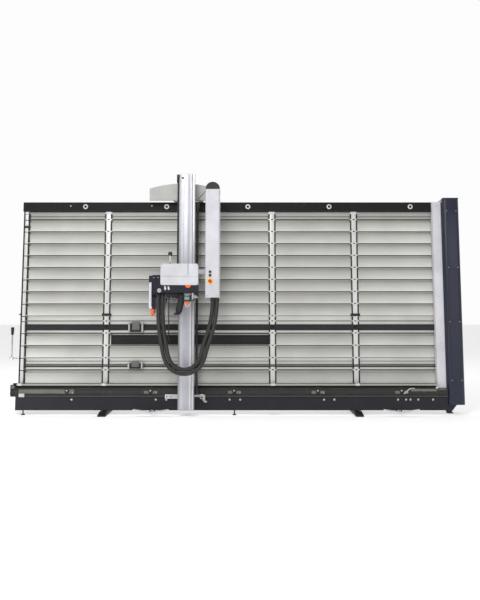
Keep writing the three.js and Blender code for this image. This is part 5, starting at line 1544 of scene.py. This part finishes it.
def dress_shoe(finishes):
    """The fittings at the beam's lower end: a ring, a plate with screws and a small foot."""
    fitting = beam_block("fitting", *SHOE_FITTING, FIRM_EDGE)
    ring = flat_ring("fitting", *SHOE_RING, SHOE_RING_AT, bevel=EASED_EDGE)
    fittings = joined("shoe_fittings", [fitting, ring])
    mount(fittings, finishes["steel"], "beam_carriage")
    plate = beam_block("shoe_plate", *SHOE_PLATE, *ROUND_EDGE)
    mount(plate, finishes["white"], "beam_carriage")
    oval = rod("shoe_foot", "h", *SHOE_FOOT, sides=32, bevel=OVAL_EDGE)
    arm = beam_block("shoe_arm", *SHOE_ARM, FIRM_EDGE)
    foot = joined("shoe_foot", [oval, arm])
    mount(foot, finishes["grey_plate"], "beam_carriage")
    face = SHOE_PLATE[1][0]
    screws = [
        screw_head("screw", x, face, SHOE_SCREW_HEIGHT, *SHOE_SCREW) for x in on_beam(*SHOE_SCREWS)
    ]
    mount(joined("shoe_screws", screws), finishes["rubber"], "beam_carriage")


SHROUD = (BEAM_AT - 0.503, BEAM_AT + 0.363)
SHROUD_RIM = ((SHROUD[0] + 0.004, SHROUD[1] - 0.004), (-0.0925, -0.0896), (2.752, 2.760))
SHROUD_FACE = -0.0898
SHROUD_SCREWS = (SHROUD[0] + 0.05, SHROUD[0] + 0.22, SHROUD[1] - 0.05)
SHROUD_SCREW_HEIGHT = 2.79
STAY_ENDS = [(0.130, -0.155, 2.745), (0.252, -0.300, 2.835)]
STAY_RADIUS = 0.0035


def dress_shroud(finishes):
    """The shroud's rim and screws, and the stay from the beam to the duct."""
    rim = block("shroud_rim", *SHROUD_RIM, THIN_EDGE)
    mount(rim, finishes["insert_grey_and_shade"], "beam_carriage")
    face, h = SHROUD_FACE, SHROUD_SCREW_HEIGHT
    screws = [screw_head("screw", x, face, h, *SHROUD_SCREW) for x in SHROUD_SCREWS]
    mount(joined("shroud_screws", screws), finishes["steel"], "beam_carriage")
    line = bpy.data.curves.new("duct_stay", "CURVE")
    line.dimensions = "3D"
    line.bevel_depth = STAY_RADIUS
    line.bevel_resolution = 3
    line.use_fill_caps = True
    spline = line.splines.new("POLY")
    spline.points.add(1)
    for point, (x, y, h) in zip(spline.points, STAY_ENDS):
        point.co = (*on_machine(BEAM_AT + x, y, h), 1)
    stay = bpy.data.objects.new("duct_stay", line)
    bpy.context.scene.collection.objects.link(stay)
    select_only(stay)
    bpy.ops.object.convert(target="MESH")
    stay.data.materials.clear()
    stay.data.materials.append(finishes["rubber"])
    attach(stay, "beam_carriage")


DUCT = (BEAM_AT + 0.334 - 0.090, BEAM_AT + 0.334 + 0.090)
DUCT_FRONT = -0.460
DUCT_BANDS = (1.4405, 2.794)
DUCT_BAND_HEIGHT = 0.006
DUCT_BAND_WIDTH = (DUCT[0] - 0.0015, DUCT[1] + 0.0015)
DUCT_BAND_DEPTH = (DUCT_FRONT - 0.0015, DUCT_FRONT + 0.1515)
DUCT_PANEL = (
    (DUCT[1] - 0.0004, DUCT[1] + 0.0016),
    (DUCT_FRONT + 0.032, DUCT_FRONT + 0.118),
    (1.47, 2.77),
)
DUCT_SCREWS = (DUCT[0] + 0.032, DUCT[1] - 0.032)
DUCT_SCREW_HEIGHTS = (1.465, 2.77)
BUTTON_X = BEAM_AT + 0.3052
BUTTON_HEIGHTS = (1.758, 1.714)
STOP_SWITCH_HEIGHT = 1.641
STOP_RING = (0.0385, 0.0235, (DUCT_FRONT - 0.0072, DUCT_FRONT - 0.0002))
BEZEL = (0.0190, 0.0160, (DUCT_FRONT - 0.0045, DUCT_FRONT - 0.0002))
CUFFS = (0.391, 0.339)
CUFF = (0.0295, (1.392, 1.4395))
CLAMP = (0.0312, (1.404, 1.415))
CAP_MIDDLE = (BEAM_AT + 0.334, 2.800)
CAP_REACH = (0.0905, 0.0925)
CAP_RIB_RADIUS = 0.0035
CAP_RIB_TURNS = (40, 65, 90, 115, 140)
CAP_RIB_SPAN = (DUCT_FRONT + 0.002, DUCT_FRONT + 0.148)


def dress_duct(finishes):
    """The duct's bands, side panel and screws, the rings of its buttons, cuffs and cap ribs."""
    rows = [(DUCT_BAND_WIDTH, DUCT_BAND_DEPTH, (h, h + DUCT_BAND_HEIGHT)) for h in DUCT_BANDS]
    mount(blocks("duct_bands", rows), finishes["white"], "beam_carriage")
    panel = block("duct_side_panel", *DUCT_PANEL, EDGE_GAP)
    mount(panel, finishes["pale"], "beam_carriage")
    screws = [
        screw_head("screw", x, DUCT_FRONT, h, *SMALL_SCREW) for x in DUCT_SCREWS for h in DUCT_SCREW_HEIGHTS
    ]
    mount(joined("duct_screws", screws), finishes["steel"], "beam_carriage")
    ring = flat_ring("stop_switch_ring", *STOP_RING, (BUTTON_X, STOP_SWITCH_HEIGHT), bevel=PLAIN_EDGE)
    mount(ring, finishes["yellow"], "beam_carriage")
    bezels = [flat_ring("bezel", *BEZEL, (BUTTON_X, h), 32) for h in BUTTON_HEIGHTS]
    mount(joined("button_bezels", bezels), finishes["steel"], "beam_carriage")
    cuffs = []
    for x in CUFFS:
        centre = (BEAM_AT + x, HOSE_Y)
        cuffs.append(rod("cuff", "h", *CUFF, centre, sides=32, bevel=FIRM_EDGE))
        cuffs.append(rod("clamp", "h", *CLAMP, centre, sides=32))
    cuffs = joined("duct_hose_cuffs", cuffs)
    mount(cuffs, finishes["rubber"], "beam_carriage")
    ribs = []
    for turn in CAP_RIB_TURNS:
        angle = math.radians(turn)
        x = CAP_MIDDLE[0] + CAP_REACH[0] * math.cos(angle)
        h = CAP_MIDDLE[1] + CAP_REACH[1] * math.sin(angle)
        ribs.append(rod("rib", "y", CAP_RIB_RADIUS, CAP_RIB_SPAN, (x, h), sides=10))
    ribs = joined("duct_cap_ribs", ribs)
    mount(ribs, finishes["black_plastic"], "beam_carriage")


# The head's pieces are given from the beam's middle too; front is the face of its cover.
COVER_FRONT = -0.480
COVER_SKIN = COVER_FRONT + 0.001
COVER = (-0.301, 0.160)
COVER_HEIGHT = (1.592, 1.857)
# A dark blue-grey sliver on the cover: painted shadow beside the fold, darkest at the top.
CREASE_SHADOW = [(0.030, 1.853), (0.042, 1.853), (0.041, 1.74), (0.036, 1.685), (0.033, 1.74)]
CREASE_SHADOW_DEPTH = (COVER_FRONT - 0.0012, COVER_SKIN)
FOLD_DEPTH = (COVER_FRONT - 0.0025, COVER_SKIN)
FOLD = [(0.0425, 1.851), (0.148, 1.851), (0.148, 1.76), (0.044, 1.69)]
COVER_SEAM = (
    (COVER[0] + 0.010, COVER[1] - 0.010),
    (COVER_FRONT - EDGE_GAP, COVER_SKIN),
    (1.6955, 1.6975),
)
COVER_PANEL = (
    (COVER[0] + 0.016, 0.020),
    (COVER_FRONT - 0.0022, COVER_SKIN),
    (1.704, COVER_HEIGHT[1] - 0.016),
)
COVER_SCREWS = [
    (COVER[0] + 0.018, COVER_HEIGHT[0] + 0.016),
    (COVER[1] - 0.018, COVER_HEIGHT[0] + 0.016),
    (COVER[0] + 0.012, COVER_HEIGHT[1] - 0.010),
    (COVER[1] - 0.012, COVER_HEIGHT[1] - 0.010),
]
KNOB_CENTRE = (0.038, COVER_HEIGHT[0] + 0.001)
KNOB_RADIUS = 0.037
KNOB_ARC = (180, 360)
KNOB_STEPS = 24
KNOB_DEPTH = (COVER_FRONT - 0.0065, COVER_FRONT - 0.0004)
COVER_GASKET = (
    (COVER[0] + 0.002, COVER[1] - 0.002),
    (COVER_FRONT + 0.002, -0.370),
    (COVER_HEIGHT[0] - 0.0012, COVER_HEIGHT[0] + EDGE_GAP),
)


def beam_outline(name, points, depth, bevel=PLAIN_EDGE, segments=2):
    """A flat piece whose outline is given from the beam's middle, between two depths."""
    return outline_piece(name, [(BEAM_AT + x, h) for x, h in points], 1, depth, bevel, segments)


def beam_rod(name, axis, radius, span, place, **shape):
    """A bar whose place along the machine is given from the beam's middle."""
    return rod(name, axis, radius, span, (BEAM_AT + place[0], place[1]), **shape)


def dress_head_cover(finishes):
    """The cover's crease of painted shadow, fold, seam and panel, its screws, its orange knob and its
    gasket.
    """
    crease = beam_outline("head_cover_crease_shadow", CREASE_SHADOW, CREASE_SHADOW_DEPTH, LINE_EDGE)
    mount(crease, finishes["crease"], "head")
    fold = beam_outline("head_cover_fold", FOLD, FOLD_DEPTH, *FOLD_EDGE)
    mount(fold, finishes["white"], "head")
    mount(beam_block("head_cover_seam", *COVER_SEAM, 0), finishes["groove"], "head")
    panel = beam_block("head_cover_panel", *COVER_PANEL, *SOFT_EDGE)
    mount(panel, finishes["white"], "head")
    screws = [screw_head("screw", BEAM_AT + x, COVER_FRONT, h, *SMALL_SCREW) for x, h in COVER_SCREWS]
    mount(joined("head_cover_screws", screws), finishes["steel"], "head")
    half_round = arc_points(KNOB_CENTRE, KNOB_RADIUS, *KNOB_ARC, KNOB_STEPS)
    knob = beam_outline("head_cover_knob", half_round, KNOB_DEPTH, *ROUND_EDGE)
    mount(knob, finishes["orange"], "head")
    gasket = beam_block("head_cover_gasket", *COVER_GASKET, 0)
    mount(gasket, finishes["gasket"], "head")


def from_cover(*depths):
    """Depths behind the cover's face, as places on the machine."""
    return moved(depths, COVER_FRONT)


TRAY = [
    (-0.245, 1.4965),
    (-0.090, 1.4965),
    (-0.086, 1.448),
    (-0.150, 1.440),
    (-0.172, 1.455),
    (-0.240, 1.452),
]
HOUSING_CORNER = [(0.108, 1.4965), (0.1595, 1.4965), (0.1595, 1.452), (0.132, 1.470)]
MACHINERY_BACK = -0.372
TRAY_DEPTH = (COVER_FRONT + 0.018, MACHINERY_BACK)
CORNER_DEPTH = (COVER_FRONT + 0.004, MACHINERY_BACK)
GUIDE_BLOCKS = [
    ((-0.246, -0.218), from_cover(0.022, 0.060), (1.404, 1.432)),
    ((-0.242, -0.226), from_cover(0.028, 0.052), (1.374, 1.4045)),
]
GUIDE_PIN = (0.012, from_cover(0.010, 0.024), (-0.232, 1.418))
BRACKETS = [
    ((-0.184, -0.106), from_cover(0.030, 0.056), (1.405, 1.441)),
    ((-0.168, -0.122), from_cover(0.020, 0.060), (1.392, 1.412)),
]
BRACKET_PINS = [(-0.165, 1.424), (-0.124, 1.424)]
BRACKET_PIN_SPAN = from_cover(0.016, 0.032)
BRACKET_PIN_RADIUS = 0.011
# Each catch: its place and which way its tip leans.
CATCHES = [(-0.240, 1), (-0.197, -1)]
CATCH_TIP = (0.003, 1.580)
CATCH_TOP_LEFT = (-0.012, 1.578)
CATCH_REST = [(0.013, 1.548), (0.010, 1.531), (-0.010, 1.531), (-0.013, 1.548)]
CATCH_SPAN = from_cover(-0.009, -0.0004)
# The bars below have a radius, a span and, on the other two axes, a place.
ROD_AT = (-0.197, COVER_FRONT + 0.034)
ROD_TOP = 1.445
DEPTH_ROD = (0.0065, (0.935, ROD_TOP), ROD_AT)
DEPTH_ROD_END = (0.011, (0.915, 0.950), ROD_AT)
DEPTH_ROD_NUT = (0.012, (1.425, 1.448), ROD_AT)
HOUSING_KNOB = (0.026, from_cover(-0.016, -0.0004), (-0.312, 1.523))
HOUSING_KNOB_HUB = (0.011, from_cover(-0.021, -0.014), (-0.312, 1.523))
GUIDE_ROD = (0.006, (1.215, 1.445), (-0.226, COVER_FRONT + 0.064))
GUIDE_ROD_TIP = (0.009, (1.200, 1.222), (-0.226, COVER_FRONT + 0.064))


def catch_outline(x, lean):
    """A small catch under the cover, narrow at its tip and wider below."""
    points = [(x + CATCH_TOP_LEFT[0], CATCH_TOP_LEFT[1]), (x + lean * CATCH_TIP[0], CATCH_TIP[1])]
    return points + [(x + off, h) for off, h in CATCH_REST]


def dress_machinery(finishes):
    """What hangs under the cover: the tray, blocks, brackets and catches, the knob and two rods."""
    tray = beam_outline("machinery_tray", TRAY, TRAY_DEPTH, *SOFT_EDGE)
    mount(tray, finishes["housing_dark"], "head")
    corner = beam_outline("housing_corner", HOUSING_CORNER, CORNER_DEPTH, *ROUND_EDGE)
    mount(corner, finishes["housing_dark"], "head")
    parts = [beam_block("box", *row, *ROUND_EDGE) for row in GUIDE_BLOCKS]
    parts.append(beam_rod("box", "y", *GUIDE_PIN, bevel=FIRM_EDGE))
    mount(joined("guide_blocks", parts), finishes["rubber"], "head")
    parts = [beam_block("bracket", *row, *SOFT_EDGE) for row in BRACKETS]
    for place in BRACKET_PINS:
        pin = beam_rod("bracket", "y", BRACKET_PIN_RADIUS, BRACKET_PIN_SPAN, place, bevel=EASED_EDGE)
        parts.append(pin)
    mount(joined("machinery_brackets", parts), finishes["cast"], "head")
    parts = [beam_outline("catch", catch_outline(*row), CATCH_SPAN, *ROUND_EDGE) for row in CATCHES]
    mount(joined("cover_catches", parts), finishes["white"], "head")
    dress_depth_rod(finishes)
    knob = beam_rod("housing_knob", "y", *HOUSING_KNOB, sides=32, bevel=KNOB_EDGE)
    hub = beam_rod("housing_knob_hub", "y", *HOUSING_KNOB_HUB, bevel=FIRM_EDGE)
    mount(joined("housing_knob", [knob, hub]), finishes["grey_plate"], "head")
    light = beam_rod("guide_rod", "h", *GUIDE_ROD, sides=16)
    tip = beam_rod("guide_rod_tip", "h", *GUIDE_ROD_TIP, sides=16, bevel=EASED_EDGE)
    mount(joined("guide_rod", [light, tip]), finishes["steel"], "head")


def dress_depth_rod(finishes):
    """A telescopic rod with its end and nut, hung on the head, with a mesh of its own."""
    black_rod = beam_rod("depth_rod", "h", *DEPTH_ROD, sides=16)
    bit = beam_rod("depth_rod_end", "h", *DEPTH_ROD_END, sides=20, bevel=FIRM_EDGE)
    nut = beam_rod("depth_rod_nut", "h", *DEPTH_ROD_NUT, sides=6)
    whole = joined("depth_rod", [black_rod, bit, nut])
    mount(whole, finishes["rubber"], "head")
    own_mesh(whole)


DISPLAY_BODY = ((-0.014, 0.078), from_cover(-0.006, 0.050), (1.3985, 1.494))
DISPLAY_SCREEN = ((-0.004, 0.056), from_cover(-0.0048, -0.002), (1.408, 1.446))
KEY_COLUMNS = 5
KEY_PITCH = 0.0155
KEY_WIDTH = 0.011
FIRST_KEY = -0.002
KEY_DEPTH = from_cover(-0.0062, -0.002)
TOP_KEYS = (1.472, 1.484)
LOWER_KEYS = (1.455, 1.463)
BRACKET_UPRIGHT = ((0.084, 0.106), from_cover(0.004, 0.060), (1.412, 1.4965))
BRACKET_ARM = ((0.104, 0.158), from_cover(0.030, 0.060), (1.436, 1.478))
BRACKET_KNOB = (0.013, from_cover(-0.010, 0.012), (0.108, 1.407))
BRAKE_PLATE = [(-0.010, 1.392), (0.066, 1.392), (0.058, 1.340), (0.026, 1.318), (-0.002, 1.340)]
BRAKE_PLATE_DEPTH = (-0.4425, -0.4385)


def dress_display(finishes):
    """The display with its screen and keys, the bracket beside it and the brake lever's plate."""
    body = beam_block("display_body", *DISPLAY_BODY, *SOFT_EDGE)
    body = sunk(body, 1, DISPLAY_BODY[1][0], *DISPLAY_RECESS)
    mount(body, finishes["rubber"], "head")
    screen = beam_block("display_screen", *DISPLAY_SCREEN)
    mount(screen, finishes["screen"], "head")
    keys = []
    for column in range(KEY_COLUMNS):
        x = FIRST_KEY + KEY_PITCH * column
        last = column == KEY_COLUMNS - 1
        for height in [TOP_KEYS] if last else [TOP_KEYS, LOWER_KEYS]:
            keys.append(beam_block("key", (x, x + KEY_WIDTH), KEY_DEPTH, height, THIN_EDGE))
    mount(joined("display_keys", keys), finishes["grey_plate"], "head")
    upright = beam_block("side", *BRACKET_UPRIGHT, *ROUND_EDGE)
    arm = beam_block("side", *BRACKET_ARM, *SOFT_EDGE)
    mount(joined("display_bracket", [upright, arm]), finishes["grey_plate"], "head")
    knob = beam_rod("bracket_knob", "y", *BRACKET_KNOB, bevel=FIRM_EDGE)
    mount(knob, finishes["rubber"], "head")
    plate = beam_outline("brake_lever_plate", BRAKE_PLATE, BRAKE_PLATE_DEPTH, EASED_EDGE)
    mount(plate, finishes["white"], "head")


GRIP = [
    (-0.080, 1.496),
    (-0.012, 1.496),
    (-0.008, 1.450),
    (-0.010, 1.400),
    (-0.020, 1.352),
    (-0.032, 1.306),
    (-0.040, 1.272),
    (-0.056, 1.250),
    (-0.068, 1.234),
    (-0.096, 1.230),
    (-0.140, 1.232),
    (-0.144, 1.242),
    (-0.118, 1.254),
    (-0.112, 1.278),
    (-0.116, 1.298),
    (-0.108, 1.316),
    (-0.107, 1.336),
    (-0.098, 1.352),
    (-0.099, 1.372),
    (-0.090, 1.390),
    (-0.090, 1.412),
    (-0.080, 1.440),
]
GRIP_DEPTH = (-0.4470, -0.4000)
GRIP_PANEL = [
    (-0.060, 1.480),
    (-0.030, 1.480),
    (-0.028, 1.410),
    (-0.045, 1.330),
    (-0.062, 1.272),
    (-0.090, 1.268),
    (-0.088, 1.320),
    (-0.072, 1.380),
]
GRIP_PANEL_DEPTH = (-0.4490, -0.4460)
TRIGGER = [(-0.092, 1.478), (-0.076, 1.478), (-0.080, 1.440), (-0.094, 1.420), (-0.103, 1.428)]
TRIGGER_DEPTH = (-0.4330, -0.4150)


def dress_handle(finishes):
    """The pistol handle: a rounded grip with finger waves, a side panel and a trigger."""
    grip = beam_outline("pistol_grip", GRIP, GRIP_DEPTH, *GRIP_EDGE)
    mount(grip, finishes["grip"], "head", ("pistol_handle",))
    panel = beam_outline("pistol_grip_panel", GRIP_PANEL, GRIP_PANEL_DEPTH)
    mount(panel, finishes["rubber"], "head")
    trigger = beam_outline("trigger", TRIGGER, TRIGGER_DEPTH, *ROUND_EDGE)
    mount(trigger, finishes["red_dark"], "head")


HEAD_CUFFS = (-0.330, -0.278)
# Each ring of a cuff: its radius, its ends and the rounding of its rims.
CUFF_RINGS = [(0.0262, (1.450, 1.4965), 0.003), (0.0285, (1.462, 1.474), 0.001)]


def dress_hose_ends(finishes):
    """The cuffs where the two hoses go into the head."""
    cuffs = []
    for x in HEAD_CUFFS:
        for radius, span, rim in CUFF_RINGS:
            cuffs.append(beam_rod("cuff", "h", radius, span, (x, HOSE_Y), sides=32, bevel=rim))
    mount(joined("head_hose_cuffs", cuffs), finishes["rubber"], "head")


HOOD_FRONT = -0.357
HOOD_PLATE = [
    (-0.4560, 1.640),
    (-0.4260, 1.640),
    (-0.4240, 1.345),
    (-0.4150, 1.332),
    (-0.4150, 1.312),
    (-0.446, 1.312),
    (-0.4570, 1.345),
]
HOOD_PLATE_DEPTH = (HOOD_FRONT - 0.003, HOOD_FRONT + 0.010)
HOOD_TIP = [(-0.4380, 1.307), (-0.3850, 1.307), (-0.3870, 1.240), (-0.4100, 1.228), (-0.4300, 1.240)]
HOOD_TIP_DEPTH = (HOOD_FRONT + 0.004, HOOD_FRONT + 0.036)
HOOD_SCREWS = [(-0.400, 1.700), (-0.345, 1.700), (-0.440, 1.42), (-0.440, 1.58)]


def dress_hood(finishes):
    """The saw hood's pale edge plate, its orange tip and its screws."""
    plate = beam_outline("hood_edge_plate", HOOD_PLATE, HOOD_PLATE_DEPTH, EASED_EDGE)
    mount(plate, finishes["pale"], "saw_unit")
    tip = beam_outline("hood_tip", HOOD_TIP, HOOD_TIP_DEPTH, *SOFT_EDGE)
    mount(tip, finishes["orange"], "saw_unit")
    screws = [screw_head("screw", BEAM_AT + x, HOOD_FRONT, h, *SMALL_SCREW) for x, h in HOOD_SCREWS]
    mount(joined("hood_screws", screws), finishes["steel"], "saw_unit")


REAR_POSTS = (2.179, 3.249)
BRACED_POSTS = (1.109, 4.319)
CLEAT_HEIGHTS = (0.31, 0.64, 1.14)
CLEAT = (0.0305, 0.074)
CLEAT_REAR = 0.0327
CLEAT_DEPTH = (CLEAT_REAR, CLEAT_REAR + 0.006)
CLEAT_HALF = 0.034
CLEAT_SCREW_OFF = 0.054
CLEAT_SCREW_RADIUS = 0.008
CLEAT_SCREW_SPAN = (CLEAT_REAR + 0.006, CLEAT_REAR + 0.011)
TIES = (0.55, 1.65, 2.72, 3.79, 4.85)
TIE_HALF = 0.016
TIE = ((0.0327, 0.0367), (0.395, 2.52))


def dress_back(finishes):
    """Cleats and screws where the rear posts cross the rails, and ties behind the slats."""
    cleats = []
    screws = []
    for x in REAR_POSTS + BRACED_POSTS:
        for h in CLEAT_HEIGHTS:
            for edges, place in zip(both_sides(x, CLEAT), around(x, CLEAT_SCREW_OFF)):
                cleats.append(block("cleat", edges, CLEAT_DEPTH, around(h, CLEAT_HALF)))
                centre = (place, h)
                screws.append(rod("head", "y", CLEAT_SCREW_RADIUS, CLEAT_SCREW_SPAN, centre, sides=6))
    mount(joined("rear_cleats", cleats), finishes["post"], "frame")
    mount(joined("rear_cleat_screws", screws), finishes["steel"], "frame")
    ties = blocks("rear_slat_ties", [(around(x, TIE_HALF), *TIE) for x in TIES], THIN_EDGE)
    mount(ties, finishes["dark_ties_and_beam_shade"], "frame")


LEVER_SLEEVE = (0.0095, (1.880, 1.968), (-0.190, -0.423))


def dress_plunge_lever(finishes):
    """The white sleeve on the plunge lever's stem."""
    sleeve = beam_rod("plunge_lever_sleeve", "h", *LEVER_SLEEVE)
    mount(sleeve, finishes["white"], "lever_ball")


clear_scene()
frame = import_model()
finishes = make_finishes()
dress_frame(frame, finishes)
add_camera()
add_studio()
bpy.context.scene.view_settings.view_transform = "Standard"
hoses = build_hoses()
for hose in hoses:
    hose.data.materials.append(finishes["hose"])
dress_slats(finishes)
dress_uprights(finishes)
dress_top_rail(finishes)
dress_rails(finishes)
dress_left_end(finishes)
dress_ledge(finishes)
dress_skirt(finishes)
dress_stops(finishes)
dress_lever(finishes)
dress_right_end(finishes)
dress_beam(finishes)
dress_shroud(finishes)
dress_duct(finishes)
dress_head_cover(finishes)
dress_machinery(finishes)
dress_display(finishes)
dress_handle(finishes)
dress_hose_ends(finishes)
dress_hood(finishes)
dress_back(finishes)
dress_plunge_lever(finishes)
